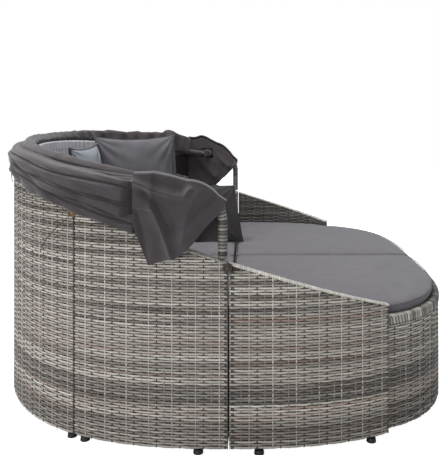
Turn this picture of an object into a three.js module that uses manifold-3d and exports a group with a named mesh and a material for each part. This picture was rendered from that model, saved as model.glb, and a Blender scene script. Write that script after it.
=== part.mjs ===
// Outdoor daybed with a folding canopy, in millimetres, +Z up, +X towards the foot end.
// A sofa section and a front section stand on the floor side by side. Both have woven walls
// whose top edges lie in one sloping plane. Three bent bows carry the canopy fabric. They share
// one pivot axis on the arm loops, and here they are folded back round the top of the back wall.

import * as THREE from 'three';
import { mergeVertices } from 'three/addons/utils/BufferGeometryUtils.js';
import Module from 'manifold-3d';

const wasm = await Module();
wasm.setup();

const degree = Math.PI / 180;

// Plan outlines. Each is a superellipse about the plan centre, given by its reach along X,
// its half width along Y and its power.
const walls = { reach: 893, halfWidth: 900, power: 2.48 };
const frontStep = 67;
const frontCurve = { reach: 809, halfWidth: walls.halfWidth - frontStep, power: 3.44 };
const facetAngle = 6 * degree;

// Heights
const wallBottom = 22;
const rimAtCentre = 591;
const rimSlope = 0.308;
const frontRimTop = 386;
const frontRimHeight = 28;

// Seams between the walls, as places along X
const seamX = -498;
const sectionGap = 6;
const wingEndX = 511;
const seamGap = 5;

// Walls: a woven skin over both faces of a tube frame
const clearance = 0.3;
const skin = 5;
const frameRadius = 12.7;
const wingFrameRadius = 8;
const wallThickness = 2 * (skin + clearance + frameRadius);
const wingThickness = 2 * (skin + clearance + wingFrameRadius);
const wallEdge = 8;
const frontSkinInset = 3;
const frontRimWidth = 26;
const uprightRadius = 9;
const wingUprightRadius = 6;
const crossRadius = 10;
const runnerStep = 1.2;
const runnerRadius = frameRadius - runnerStep;
const cut = 40;
const trim = 2000;

// Seat
const deckTop = 366;
const deckThickness = 8;
const cushionThickness = 50;
const cushionCrown = 6;
const cushionEdge = 12;
const cushionDraw = 3;
const cushionGap = 3;
const cushionSplit = 0.5;
const closingPanel = 12;
const crossTubeShares = [0.336, 0.627];
const frontCrossTubeShares = [0.12, 0.53, 0.86];
const frontPostShares = [-0.8, -0.6, -0.4, -0.2, 0.2, 0.4, 0.6, 0.8];
const frontCushionEdgeInset = 28;
const cushionStepStart = 440;
const cushionStepEnd = 508;

// Glides under the walls
const glideRadius = 15;
const glideNeck = 7;
const glideFlare = 1;
const glideShoulder = 14;

// Pillows: sizes, place ahead of the back wall's tip and as a share of the half width, turn, lean
const pillows = {
  large_dark_pillow: {
    width: 450, height: 470, thickness: 130, fromBack: 373, acrossShare: 0.413,
    turn: 38 * degree, lean: 19 * degree, colour: 'cushion',
  },
  light_pillow: {
    width: 430, height: 440, thickness: 110, fromBack: 217, acrossShare: 0.033,
    turn: 80 * degree, lean: 14 * degree, colour: 'light',
  },
  small_light_pillow: {
    width: 380, height: 400, thickness: 100, fromBack: 295, acrossShare: -0.42,
    turn: 122 * degree, lean: 14 * degree, colour: 'light',
  },
  flat_dark_pillow: {
    width: 300, height: 272, thickness: 46, fromBack: 733, acrossShare: 0.283,
    turn: 4 * degree, lean: 5 * degree, colour: 'dark',
  },
};

// Arm loops, wrapped with flat rattan
const loopRadius = 14;
const loopTop = 825;
const loopFrontInset = 18;
const loopFrontBend = 110;
const loopBackX = -430;
const loopBackBend = 90;

// Canopy: pivot, and bows in a row along the pivot bolt. Folded back, each bow's tip lies a
// little ahead of the back wall's tip and above the rim.
const pivotX = -185;
const pivotZ = 822;
const bowRadius = 10;
const bowPower = 2.25;
const bowTail = 14;
const bowPitch = 28;
const foldedTips = {
  rear: { fromBack: 24.2, aboveRim: 18.4 },
  middle: { fromBack: 31.1, aboveRim: 48.6 },
  front: { fromBack: 45, aboveRim: 79.6 },
};
const bossLength = 18.6;
const bracketPlate = 4;
const bracketLength = 56;
const bracketHeight = 44;
const bossRadius = 13;
const boltRadius = 5;
const boltHeadRadius = 12;
const boltHead = 8;
const sleeveRadius = 22;
const sleeveLift = 8;
const sleeveEndRadius = 14;
const sleeveEndLift = 2;
const sleeveSlack = 0.5;

// Folded fabric: three bands stacked outside the bows, on the wall's rim
const bandProud = 12;
const bandInner = 12;
const bandTuck = 3;
const bandEndX = -300;
const bandShares = [0, 0.36, 0.58, 1];
const bandTopClear = 3;
const foldWave = 4;
const foldCount = 22;

// Side flaps that hang over the arm loops. The edge and the crest are given as shares of the
// length, from back to front, and of the height above the lowest corner.
const flapThickness = 6;
const flapWave = 9;
const flapFolds = 1.6;
const flapTop = 868;
const flapDrop = 284;
const flapEdgeShares = [[0, 0.43], [0.16, 0], [0.5, 0.11], [0.64, 0.24], [0.81, 0.45], [1, 0.63]];
const flapCrestShares = [
  [0, 1], [0.22, 1.01], [0.39, 0.975], [0.52, 0.94], [0.71, 0.89], [0.85, 0.8], [1, 0.7],
];
const flapInset = 32;
const flapOver = 2;
const flapRound = 3;
const flapBackX = -292;
const flapFrontX = -6;
const flapStand = 5;

// Lining inside the back wall
const liningTop = 846;
const liningBottom = 690;
const liningThickness = 5;
const liningWave = 7;
const liningFolds = 28;
const liningEndX = -485;

// Tie strings
const tieRadius = 1.5;
const knotRadius = 7;
const backTieAngle = 20 * degree;

const facets = Math.round(2 * Math.PI / facetAngle);
const rimZ = x => rimAtCentre - rimSlope * x;
const bowLineZ = x => pivotZ + Math.tan(bows.front.tilt) * (pivotX - x);
const railZ = deckTop - deckThickness - clearance - frameRadius;
const footTop = wallBottom + clearance;
const lowRailZ = 2 * clearance + wallBottom + frameRadius;
const wingLowRailZ = 2 * clearance + wallBottom + wingFrameRadius;

// A closed body from numbered corners, turned so that its faces point outwards
function bodyOf(corners, triangles) {
  const geometry = new THREE.BufferGeometry();
  let volume = 0;
  const [a, b, c] = [new THREE.Vector3(), new THREE.Vector3(), new THREE.Vector3()];
  for (const [i, j, k] of triangles) {
    a.fromArray(corners[i]);
    b.fromArray(corners[j]);
    c.fromArray(corners[k]);
    volume += a.dot(b.cross(c));
  }
  const outward = volume > 0 ? triangles : triangles.map(([i, j, k]) => [i, k, j]);
  geometry.setAttribute('position', new THREE.Float32BufferAttribute(corners.flat(), 3));
  geometry.setIndex(outward.flat());
  geometry.computeVertexNormals();
  return geometry;
}

// Triangles of a flat cap that keep the turning sense of its outline
function capTriangles(outline) {
  const points = outline.map(([u, v]) => new THREE.Vector2(u, v));
  const sense = Math.sign(THREE.ShapeUtils.area(points));
  return THREE.ShapeUtils.triangulateShape(points, []).map(([i, j, k]) => {
    const corner = [points[i], points[j], points[k]];
    return Math.sign(THREE.ShapeUtils.area(corner)) === sense ? [i, j, k] : [i, k, j];
  });
}

// Skin over a row of sections that all have the same number of points
function skinOver(sections, capOutlines) {
  const count = sections[0].length;
  const triangles = [];
  for (let i = 0; i + 1 < sections.length; i++) {
    for (let j = 0; j < count; j++) {
      const here = i * count + j;
      const next = i * count + (j + 1) % count;
      triangles.push([here, next, next + count], [here, next + count, here + count]);
    }
  }
  const last = (sections.length - 1) * count;
  capTriangles(capOutlines[0]).forEach(([i, j, k]) => triangles.push([i, k, j]));
  capTriangles(capOutlines[1]).forEach(([i, j, k]) => triangles.push([last + i, last + j, last + k]));
  return bodyOf(sections.flat(), triangles);
}

function solidOf(geometry) {
  const bare = geometry.clone();
  bare.deleteAttribute('normal');
  bare.deleteAttribute('uv');
  const merged = mergeVertices(bare);
  return new wasm.Manifold(new wasm.Mesh({
    numProp: 3,
    vertProperties: merged.attributes.position.array,
    triVerts: new Uint32Array(merged.index.array),
  }));
}

function geometryOf(solid) {
  const mesh = solid.getMesh();
  const geometry = new THREE.BufferGeometry();
  geometry.setAttribute('position', new THREE.BufferAttribute(mesh.vertProperties.slice(), 3));
  geometry.setIndex(new THREE.BufferAttribute(mesh.triVerts.slice(), 1));
  geometry.computeVertexNormals();
  return geometry;
}

function joined(geometries) {
  return geometryOf(geometries.map(solidOf).reduce((sum, next) => sum.add(next)));
}

function without(geometry, tools) {
  return geometryOf(tools.map(solidOf).reduce((rest, tool) => rest.subtract(tool), solidOf(geometry)));
}

// Superellipse point at an angle that runs from the back (0) to the sides (90 degrees) to the front
function curvePoint(shape, angle, inset) {
  const along = Math.cos(angle);
  const across = Math.sin(angle);
  const power = 2 / shape.power;
  return [
    -(shape.reach - inset) * Math.sign(along) * Math.abs(along) ** power,
    (shape.halfWidth - inset) * Math.sign(across) * Math.abs(across) ** power,
  ];
}

// The same on the faceted outline, so that nested walls, rails and skins keep their clearance
function planPoint(shape, angle, inset) {
  const cell = Math.floor(angle / facetAngle + 1e-9);
  const share = angle / facetAngle - cell;
  const [x0, y0] = curvePoint(shape, cell * facetAngle, inset);
  const [x1, y1] = curvePoint(shape, (cell + 1) * facetAngle, inset);
  return [x0 + (x1 - x0) * share, y0 + (y1 - y0) * share];
}

// Angle at which the faceted outline passes a place along X, on the +Y side
function angleAt(shape, x, inset) {
  let low = 0;
  let high = Math.PI;
  for (let i = 0; i < 40; i++) {
    const middle = (low + high) / 2;
    if (planPoint(shape, middle, inset)[0] < x) low = middle;
    else high = middle;
  }
  return (low + high) / 2;
}

const outlineY = (shape, x, inset) => planPoint(shape, angleAt(shape, x, inset), inset)[1];

// Angles of the facet corners from one angle to another, with both ends
function stations(from, to) {
  const angles = [from];
  for (let i = -facets; i <= facets; i++) {
    const angle = i * facetAngle;
    if (angle > from + 1e-6 && angle < to - 1e-6) angles.push(angle);
  }
  return [...angles, to];
}

// A body that follows the outline. The profile's points are an inset and a height, which may
// be a function of the place along X and of the angle.
function along(shape, angles, profile) {
  const flat = [];
  const sections = angles.map(angle => {
    const outline = profile.map(([inset, height]) => {
      const depth = typeof inset === 'function' ? inset(angle) : inset;
      const [x, y] = planPoint(shape, angle, depth);
      return [x, y, typeof height === 'function' ? height(x, angle) : height, depth];
    });
    flat.push(outline.map(point => [point[3], point[2]]));
    return outline.map(point => point.slice(0, 3));
  });
  return skinOver(sections, [flat[0], flat[flat.length - 1]]);
}

const overRim = offset => x => rimZ(x) + offset;

// Round rail that follows the outline, at a fixed height or along the rim
function railAlong(shape, angles, inset, radius, height) {
  const profile = roundRing(radius, 8).map(([out, rise]) => (
    [inset + out, typeof height === 'function' ? x => height(x) + rise : height + rise]
  ));
  return along(shape, angles, profile);
}

// Sweep of a ring along points. Each ring point is a distance outwards and a distance up.
function sweep(points, up, ringAt) {
  const path = points.map(point => new THREE.Vector3(...point));
  const upward = new THREE.Vector3(...up);
  const rings = path.map((point, i) => ringAt(i / (path.length - 1)));
  const sections = path.map((point, i) => {
    const before = path[Math.max(i - 1, 0)];
    const after = path[Math.min(i + 1, path.length - 1)];
    const tangent = after.clone().sub(before).normalize();
    const side = tangent.clone().cross(upward).normalize();
    const lift = side.clone().cross(tangent);
    return rings[i].map(([out, rise]) => (
      point.clone().addScaledVector(side, out).addScaledVector(lift, rise).toArray()
    ));
  });
  return skinOver(sections, [rings[0], rings[rings.length - 1]]);
}

// Ring whose flat sides lie at the radius
function roundRing(radius, sides, lift = 0) {
  const corner = radius / Math.cos(Math.PI / sides);
  return Array.from({ length: sides }, (_, i) => {
    const turn = (i + 0.5) * 2 * Math.PI / sides;
    return [corner * Math.cos(turn), lift + corner * Math.sin(turn)];
  });
}

const upTube = (x, y, z0, z1, radius) => (
  sweep([[x, y, z0], [x, y, z1]], [1, 0, 0], () => roundRing(radius, 8))
);
const crossTube = (x, y0, y1, z, radius, sides = 8) => (
  sweep([[x, y0, z], [x, y1, z]], [0, 0, 1], () => roundRing(radius, sides))
);
const lengthTube = (x0, x1, y, z, radius) => (
  sweep([[x0, y, z], [x1, y, z]], [0, 0, 1], () => roundRing(radius, 8))
);

// Section of a wall: its top edges are rounded off
const wallProfile = thickness => [
  [0, wallBottom], [0, overRim(-wallEdge)], [wallEdge, overRim(0)],
  [thickness - wallEdge, overRim(0)], [thickness, overRim(-wallEdge)], [thickness, wallBottom],
];

// What is left of a body behind a place along X, or ahead of it
const slab = (x0, x1) => boxBetween(x0, x1, -trim, trim, -trim, trim);
const behindX = (geometry, x) => without(geometry, [slab(x, x + trim)]);
const aheadOfX = (geometry, x) => without(geometry, [slab(x - trim, x)]);

// Wall of a given thickness: woven over both faces, over the top and round both ends, open below
function wovenWall(angles, thickness) {
  const outer = along(walls, angles, wallProfile(thickness));
  const edge = skin / walls.reach;
  const inside = stations(angles[0] + edge, angles[angles.length - 1] - edge);
  const hollow = along(walls, inside, [
    [skin, wallBottom - cut], [skin, overRim(-skin - wallEdge)], [skin + wallEdge, overRim(-skin)],
    [thickness - skin - wallEdge, overRim(-skin)], [thickness - skin, overRim(-skin - wallEdge)],
    [thickness - skin, wallBottom - cut],
  ]);
  return without(outer, [hollow]);
}

// Welded frame inside a wall: a low rail, a rail along the rim and uprights between them
function wallFrame(angles, thickness, radius, postRadius, lowZ, postCount) {
  const edge = (skin + clearance) / walls.reach;
  const [first, last] = [angles[0] + edge, angles[angles.length - 1] - edge];
  const inside = stations(first, last);
  const middle = thickness / 2;
  const topRail = overRim(-skin - wallEdge - radius);
  const reachIn = 2 * postRadius / walls.reach;
  const posts = Array.from({ length: postCount }, (_, i) => {
    const share = i / (postCount - 1);
    const [x, y] = planPoint(walls, first + reachIn + (last - first - 2 * reachIn) * share, middle);
    return upTube(x, y, lowZ, topRail(x), postRadius);
  });
  return joined([
    railAlong(walls, inside, middle, radius, lowZ),
    railAlong(walls, inside, middle, radius, topRail),
    ...posts,
  ]);
}

// Plastic glide that stands on the floor and is pushed into the frame above it
function glide(x, y) {
  const profile = [
    [0, 0], [glideRadius, 0], [glideRadius + glideFlare, glideFlare], [glideShoulder, glideShoulder],
    [glideNeck, glideShoulder], [glideNeck, footTop], [0, footTop],
  ].map(([radius, height]) => new THREE.Vector2(radius, height));
  return new THREE.LatheGeometry(profile, 12).rotateX(Math.PI / 2).translate(x, y, 0);
}

// Flat plate from a plan outline
function plate(outline, z0, thickness) {
  const shape = new THREE.Shape(outline.map(([x, y]) => new THREE.Vector2(x, y)));
  const flat = new THREE.ExtrudeGeometry(shape, { depth: thickness, bevelEnabled: false });
  return flat.translate(0, 0, z0);
}

const boxBetween = (x0, x1, y0, y1, z0, z1) => (
  new THREE.BoxGeometry(x1 - x0, y1 - y0, z1 - z0)
    .translate((x0 + x1) / 2, (y0 + y1) / 2, (z0 + z1) / 2)
);

// Points inside the sofa's walls, from one side round the back to the other
function sofaOutline(inset, frontX) {
  const end = angleAt(walls, frontX, inset);
  return stations(-end, end).map(angle => planPoint(walls, angle, inset));
}

// Half width of what lies in the front section: along the wings, then round the front curve
function frontHalfWidth(x, wingInset, curveInset) {
  const ease = THREE.MathUtils.smoothstep(x, cushionStepStart, cushionStepEnd);
  const wide = x < cushionStepEnd ? outlineY(walls, x, wingInset) : 0;
  const narrow = x > cushionStepStart ? outlineY(frontCurve, x, curveInset) : 0;
  return wide * (1 - ease) + narrow * ease;
}

// Outline of the +Y half of the front section, from its straight back edge to the front tip
function frontHalfOutline(backX, wingInset, curveInset) {
  const steps = 6;
  const side = Array.from({ length: steps }, (_, i) => backX + (cushionStepStart - backX) * i / steps);
  const ease = [cushionStepStart, (cushionStepStart + cushionStepEnd) / 2];
  const tip = stations(angleAt(frontCurve, cushionStepEnd, curveInset), Math.PI);
  return [
    ...[...side, ...ease].map(x => [x, frontHalfWidth(x, wingInset, curveInset)]),
    ...tip.map(angle => planPoint(frontCurve, angle, curveInset)),
  ];
}

// Points along a straight edge, without its ends
function between([x0, y0], [x1, y1], count) {
  return Array.from({ length: count }, (_, i) => {
    const share = (i + 1) / (count + 1);
    return [x0 + (x1 - x0) * share, y0 + (y1 - y0) * share];
  });
}

// Seat cushion: rounded edges, sides drawn in at mid height, a flat base and a low crown
function cushion(outline, base, middle) {
  const top = base + cushionThickness;
  const crownShares = [0.92, 0.7, 0.4];
  const inward = (point, inset) => {
    const reach = Math.hypot(point[0] - middle[0], point[1] - middle[1]);
    return point.map((value, i) => middle[i] + (value - middle[i]) * (1 - inset / reach));
  };
  const toward = (point, share) => point.map((value, i) => middle[i] + (value - middle[i]) * share);
  const levels = [
    [cushionEdge, base], [0, base + cushionEdge], [cushionDraw, (base + top) / 2],
    [0, top - cushionEdge], [cushionEdge, top],
  ];
  const rings = levels.map(([inset, z]) => outline.map(point => [...inward(point, inset), z]));
  for (const share of crownShares) {
    const z = top + cushionCrown * (1 - share * share);
    rings.push(outline.map(point => [...toward(inward(point, cushionEdge), share), z]));
  }
  return domed(rings, [...middle, base], [...middle, top + cushionCrown]);
}

// Rings stacked on each other and closed with a fan to a point at either end
function domed(rings, start, finish) {
  const count = rings[0].length;
  const corners = [...rings.flat(), start, finish];
  const triangles = [];
  for (let i = 0; i + 1 < rings.length; i++) {
    for (let j = 0; j < count; j++) {
      const here = i * count + j;
      const next = i * count + (j + 1) % count;
      triangles.push([here, next, next + count], [here, next + count, here + count]);
    }
  }
  const last = (rings.length - 1) * count;
  for (let j = 0; j < count; j++) {
    const next = (j + 1) % count;
    triangles.push([next, j, corners.length - 2], [last + j, last + next, corners.length - 1]);
  }
  return bodyOf(corners, triangles);
}

// Pillow: two puffed faces that meet at a seam, with sides drawn in between pointed corners
function pillow({ width, height, thickness, fromBack, acrossShare, turn, lean }) {
  const steps = 8;
  const puffPower = 0.55;
  const drawShare = 0.07;
  const corners = [];
  const index = new Map();
  const cornerAt = (i, j, face) => {
    const seam = i === 0 || j === 0 || i === steps || j === steps;
    const key = `${i},${j},${seam ? 0 : face}`;
    if (!index.has(key)) {
      const u = 2 * i / steps - 1;
      const v = 2 * j / steps - 1;
      const puff = ((1 - Math.abs(u) ** 2.6) * (1 - Math.abs(v) ** 2.6)) ** puffPower;
      corners.push([
        u * width / 2 * (1 - drawShare * (1 - v * v)),
        seam ? 0 : face * puff * thickness / 2,
        height / 2 + v * height / 2 * (1 - drawShare * (1 - u * u)),
      ]);
      index.set(key, corners.length - 1);
    }
    return index.get(key);
  };
  const triangles = [];
  for (let i = 0; i < steps; i++) {
    for (let j = 0; j < steps; j++) {
      for (const face of [1, -1]) {
        const [a, b] = [cornerAt(i, j, face), cornerAt(i + 1, j, face)];
        const [c, d] = [cornerAt(i + 1, j + 1, face), cornerAt(i, j + 1, face)];
        const halves = (i + j) % 2 ? [[a, b, d], [b, c, d]] : [[a, b, c], [a, c, d]];
        triangles.push(...(face > 0 ? halves : halves.map(([p, q, r]) => [p, r, q])));
      }
    }
  }
  return bodyOf(corners, triangles).rotateX(-lean).rotateZ(turn)
    .translate(fromBack - walls.reach, acrossShare * walls.halfWidth, flapTop);
}

// Lowers a body until it lies just above the surfaces under it
function loweredOnto(geometry, surfaces) {
  const up = new THREE.Vector3(0, 0, 1);
  const under = surfaces.map(surface => new THREE.Mesh(surface));
  const body = new THREE.Mesh(geometry);
  const distances = [];
  const look = (points, direction, meshes) => {
    for (let i = 0; i < points.count; i++) {
      const start = new THREE.Vector3().fromBufferAttribute(points, i);
      const hits = new THREE.Raycaster(start, direction).intersectObjects(meshes);
      if (hits.length) distances.push(hits[0].distance);
    }
  };
  look(geometry.attributes.position, up.clone().negate(), under);
  for (const surface of surfaces) look(surface.attributes.position, up, [body]);
  return geometry.translate(0, 0, clearance - Math.min(...distances));
}

// Arm loop: up from the front end of the side wall, back over a long top run, down to the rim
function loopPath(side) {
  const frontX = -loopFrontInset;
  const bendSteps = 6;
  const points = [[frontX, rimZ(frontX - loopRadius) + clearance]];
  for (let i = 0; i <= bendSteps; i++) {
    const turn = i / bendSteps * Math.PI / 2;
    points.push([
      frontX - loopFrontBend * (1 - Math.cos(turn)),
      loopTop - loopFrontBend * (1 - Math.sin(turn)),
    ]);
  }
  points.push(...between(points[points.length - 1], [loopBackX + loopBackBend, loopTop], 3));
  for (let i = 0; i <= bendSteps; i++) {
    const turn = i / bendSteps * Math.PI / 2;
    points.push([
      loopBackX + loopBackBend * (1 - Math.sin(turn)),
      loopTop - loopBackBend * (1 - Math.cos(turn)),
    ]);
  }
  points.push([loopBackX, rimZ(loopBackX - loopRadius) + clearance]);
  return points.map(([x, z]) => [x, side * loopY(x), z]);
}

const loopY = x => outlineY(walls, x, wallThickness / 2);
const bracketY = loopY(pivotX - bracketLength / 2) - loopRadius - clearance;

// Size and rest angle of each bow, from where its tip lies when it is folded back
const bows = Object.fromEntries(Object.entries(foldedTips).map(([name, tip], place) => {
  const run = walls.reach + pivotX - tip.fromBack;
  const tilt = Math.atan((rimZ(pivotX - run) + tip.aboveRim - pivotZ) / run);
  const halfWidth = bracketY - bossLength - clearance - bowRadius - place * bowPitch;
  return [name, { reach: run / Math.cos(tilt), halfWidth, tilt }];
}));

// Path of a bow in its own plane, with a short tail past the pivot on each side
function bowPath(bow, steps = 24) {
  const power = 2 / bowPower;
  const plane = [[-bowTail, bow.halfWidth]];
  for (let i = 0; i <= steps; i++) {
    const turn = Math.PI / 2 - Math.PI * i / steps;
    const across = Math.sin(turn);
    const reach = bow.reach * Math.max(Math.cos(turn), 0) ** power;
    plane.push([reach, bow.halfWidth * Math.sign(across) * Math.abs(across) ** power]);
  }
  plane.push([-bowTail, -bow.halfWidth]);
  return plane.map(([reach, y]) => [
    pivotX - reach * Math.cos(bow.tilt), y, pivotZ + reach * Math.sin(bow.tilt),
  ]);
}

const bowNormal = bow => [Math.sin(bow.tilt), 0, Math.cos(bow.tilt)];

function bowTube(bow) {
  const tube = sweep(bowPath(bow), bowNormal(bow), () => roundRing(bowRadius, 8));
  const hole = crossTube(pivotX, -walls.halfWidth, walls.halfWidth, pivotZ, boltRadius + clearance, 12);
  return without(tube, [hole]);
}

// Fabric sleeve round the front bow: full at the back and slimmer towards the pivots
function bowSleeve(bow) {
  const path = bowPath(bow);
  const ends = 3;
  const covered = path.slice(ends, path.length - ends);
  const outer = sweep(covered, bowNormal(bow), share => {
    const full = Math.sin(Math.PI * share) ** 0.6;
    const radius = sleeveEndRadius + (sleeveRadius - sleeveEndRadius) * full;
    return roundRing(radius, 10, sleeveEndLift + (sleeveLift - sleeveEndLift) * full);
  });
  const bore = sweep(path, bowNormal(bow), () => roundRing(bowRadius + sleeveSlack, 8));
  return without(outer, [bore]);
}

// Bracket on the inner side of the arm loop: a rounded plate with a boss for the pivot bolt
function pivotBracket(side) {
  const plateOutline = new THREE.Shape();
  const [half, end] = [bracketLength / 2, bracketHeight / 2];
  plateOutline.moveTo(-half + end, -end);
  plateOutline.lineTo(half - end, -end);
  plateOutline.absarc(half - end, 0, end, -Math.PI / 2, Math.PI / 2, false);
  plateOutline.lineTo(-half + end, end);
  plateOutline.absarc(-half + end, 0, end, Math.PI / 2, 3 * Math.PI / 2, false);
  const flat = new THREE.ExtrudeGeometry(plateOutline, {
    depth: bracketPlate, bevelEnabled: false, curveSegments: 6,
  });
  flat.rotateX(Math.PI / 2).translate(pivotX, bracketY, pivotZ);
  const bossEnd = bracketY - bossLength;
  const boss = crossTube(pivotX, bracketY - bracketPlate / 2, bossEnd, pivotZ, bossRadius, 16);
  const hole = crossTube(pivotX, bossEnd - cut, bracketY + cut, pivotZ, boltRadius + clearance, 12);
  return mirrored(without(joined([flat, boss]), [hole]), side);
}

// Pivot bolt with a low round head on the inner side
function pivotBolt(side) {
  const headEnd = bows.front.halfWidth - bowRadius - 4 * clearance;
  const shank = crossTube(pivotX, headEnd, bracketY - clearance, pivotZ, boltRadius, 12);
  const head = crossTube(pivotX, headEnd - boltHead, headEnd, pivotZ, boltHeadRadius, 12);
  return mirrored(joined([shank, head]), side);
}

// The +Y piece itself, or its mirror image on the -Y side
function mirrored(geometry, side) {
  return side > 0 ? geometry : geometryOf(solidOf(geometry).mirror([0, 1, 0]));
}

// One band of folded fabric: its share of the height between the rim and the bows
function fabricBand(lowShare, highShare) {
  const end = angleAt(walls, bandEndX, 0);
  const stack = (share, gap) => x => {
    const low = rimZ(x);
    return low + (bowLineZ(x) - bandTopClear - low) * share + gap;
  };
  const besideLoop = wallThickness / 2 - loopRadius - 3 * clearance;
  const inner = angle => {
    const [nextX] = planPoint(walls, Math.abs(angle) + facetAngle, 0);
    return nextX < loopBackX - 2 * loopRadius ? bandInner : besideLoop;
  };
  const bulge = angle => -bandProud + foldWave * (1 - Math.cos(foldCount * angle));
  const bodyShare = (highShare - lowShare) * 0.3;
  return along(walls, stations(-end, end), [
    [inner, stack(lowShare, clearance)], [-bandTuck, stack(lowShare, clearance)],
    [bulge, stack(lowShare + bodyShare, 0)], [bulge, stack(highShare - bodyShare, 0)],
    [-bandTuck, stack(highShare, 0)], [inner, stack(highShare, 0)],
  ]);
}

// Height of the arm loop's outer side above a place along X
function loopCrown(x) {
  const outer = loopFrontBend + loopRadius;
  const ahead = x + loopFrontInset + loopFrontBend;
  const rise = ahead > 0 ? Math.sqrt(Math.max(outer * outer - ahead * ahead, 0)) : outer;
  return loopTop - loopFrontBend + rise;
}

// Height of a side flap's crest or edge at a share of its length
function flapHeight(shares, lengthShare) {
  const next = Math.max(shares.findIndex(([place]) => place >= lengthShare), 1);
  const [start, low] = shares[next - 1];
  const [end, high] = shares[next];
  const share = low + (high - low) * (lengthShare - start) / (end - start);
  return flapTop - flapDrop * (1 - share);
}

// Cloth that hangs over the arm loop: its crest, its outer face with folds, its lower edge
function sideFlap(side) {
  const steps = 18;
  const dropShares = [0.16, 0.42, 0.7, 1];
  const sections = [];
  for (let i = 0; i <= steps; i++) {
    const x = flapBackX + (flapFrontX - flapBackX) * i / steps;
    const overLoop = loopCrown(x) + flapThickness + 5 * clearance;
    const crest = Math.max(flapHeight(flapCrestShares, i / steps), overLoop);
    const foot = flapHeight(flapEdgeShares, i / steps);
    const hang = dropShares.map(share => {
      const turn = 2 * Math.PI * flapFolds * i / steps + 2 * share;
      const wave = flapWave * (1 + Math.sin(turn)) * share;
      return [-flapStand - bandProud * share / 2 - wave, crest + (foot - crest) * share];
    });
    const over = [
      [flapInset, crest - flapRound], [wallThickness / 2, crest], [flapOver, crest - flapRound],
    ];
    const inner = [
      ...over.map(([inset, z]) => [inset, z - flapThickness]),
      ...hang.map(([inset, z]) => [inset + flapThickness, z]),
    ].reverse();
    const outer = [...over, ...hang];
    const outline = [...outer, ...inner];
    sections.push(outline.map(([inset, z]) => [x, side * (outlineY(walls, x, 0) - inset), z]));
  }
  const cap = sections.map(section => section.map(([, y, z]) => [y, z]));
  return skinOver(sections, [cap[0], cap[cap.length - 1]]);
}

// Lining that hangs in folds from the inner edge of the back wall
function liningCloth() {
  const inner = wallThickness + clearance;
  const top = x => Math.min(liningTop, rimZ(x) - wallEdge);
  const bottom = x => Math.min(liningBottom, rimZ(x) - 2 * wallThickness);
  const fold = angle => inner + liningWave * (1 + Math.sin(liningFolds * angle));
  const end = angleAt(walls, liningEndX, 0);
  return along(walls, stations(-end, end), [
    [inner, x => top(x)], [inner + liningThickness, x => top(x)],
    [angle => fold(angle) + liningThickness, x => (top(x) + bottom(x)) / 2],
    [angle => fold(angle) + liningThickness, x => bottom(x)],
    [fold, x => bottom(x)], [fold, x => (top(x) + bottom(x)) / 2],
  ]);
}

// Knot in a tie string, and the string's loose end
function knot([x, y, z]) {
  return new THREE.SphereGeometry(knotRadius, 8, 6).translate(x, y, z);
}

function stringEnd(points) {
  const corners = points.map(point => new THREE.Vector3(...point));
  const curve = new THREE.CatmullRomCurve3(corners, false, 'centripetal');
  const path = curve.getSpacedPoints(10).map(point => point.toArray());
  return sweep(path, [1, 0, 0.2], () => roundRing(tieRadius, 8));
}

const colours = {
  rattan: [0xa39c92, 0.75, 0],
  wrap: [0x8d867e, 0.7, 0],
  steel: [0x4a4a4c, 0.5, 0.6],
  bolt: [0xb5b5b5, 0.35, 0.9],
  plastic: [0x1d1d1e, 0.5, 0],
  cushion: [0x77747a, 0.9, 0],
  canopy: [0x5a5657, 0.9, 0],
  light: [0x98a0a8, 0.9, 0],
  dark: [0x403c3d, 0.9, 0],
  string: [0x3a3533, 0.9, 0],
};

function part(group, name, geometry, colour) {
  const [color, roughness, metalness] = colours[colour];
  const material = new THREE.MeshStandardMaterial({ color, roughness, metalness });
  const mesh = new THREE.Mesh(geometry, material);
  mesh.name = name;
  group.add(mesh);
}

const sides = { left: 1, right: -1 };
const seamAngle = angleAt(walls, seamX, 0);
const halfSeam = seamGap / 2 / walls.reach;
const sofaEndAngle = angleAt(walls, -sectionGap / 2, 0);
const wingStartAngle = angleAt(walls, sectionGap / 2, 0);
const wingEndAngle = angleAt(walls, wingEndX, 0);
const wingTrimAngle = angleAt(walls, wingEndX + 2 * wallThickness, 0);

// Angles of a wall on the +Y side or, mirrored, on the -Y side
const sideStations = (from, to, side) => (side > 0 ? stations(from, to) : stations(-to, -from));

function addWall(group, name, angles, postCount) {
  part(group, `${name}_weave`, wovenWall(angles, wallThickness), 'rattan');
  const frame = wallFrame(angles, wallThickness, frameRadius, uprightRadius, lowRailZ, postCount);
  part(group, `${name}_frame`, frame, 'steel');
}

// Wing: its front end is cut square to the length and closed with the same weave
function addWing(group, name, side) {
  const angles = sideStations(wingStartAngle, wingTrimAngle, side);
  const end = slab(wingEndX - skin, wingEndX);
  const shell = behindX(wovenWall(angles, wingThickness), wingEndX);
  const full = along(walls, angles, wallProfile(wingThickness));
  const closed = geometryOf(solidOf(full).intersect(solidOf(end)));
  part(group, `${name}_weave`, joined([shell, closed]), 'rattan');
  const inside = sideStations(wingStartAngle, wingEndAngle, side);
  const frame = wallFrame(inside, wingThickness, wingFrameRadius, wingUprightRadius, wingLowRailZ, 4);
  part(group, `${name}_frame`, behindX(frame, wingEndX - skin - clearance), 'steel');
}

function addGlide(group, name, shape, angle, inset) {
  part(group, name, glide(...planPoint(shape, angle, inset)), 'plastic');
}

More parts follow.
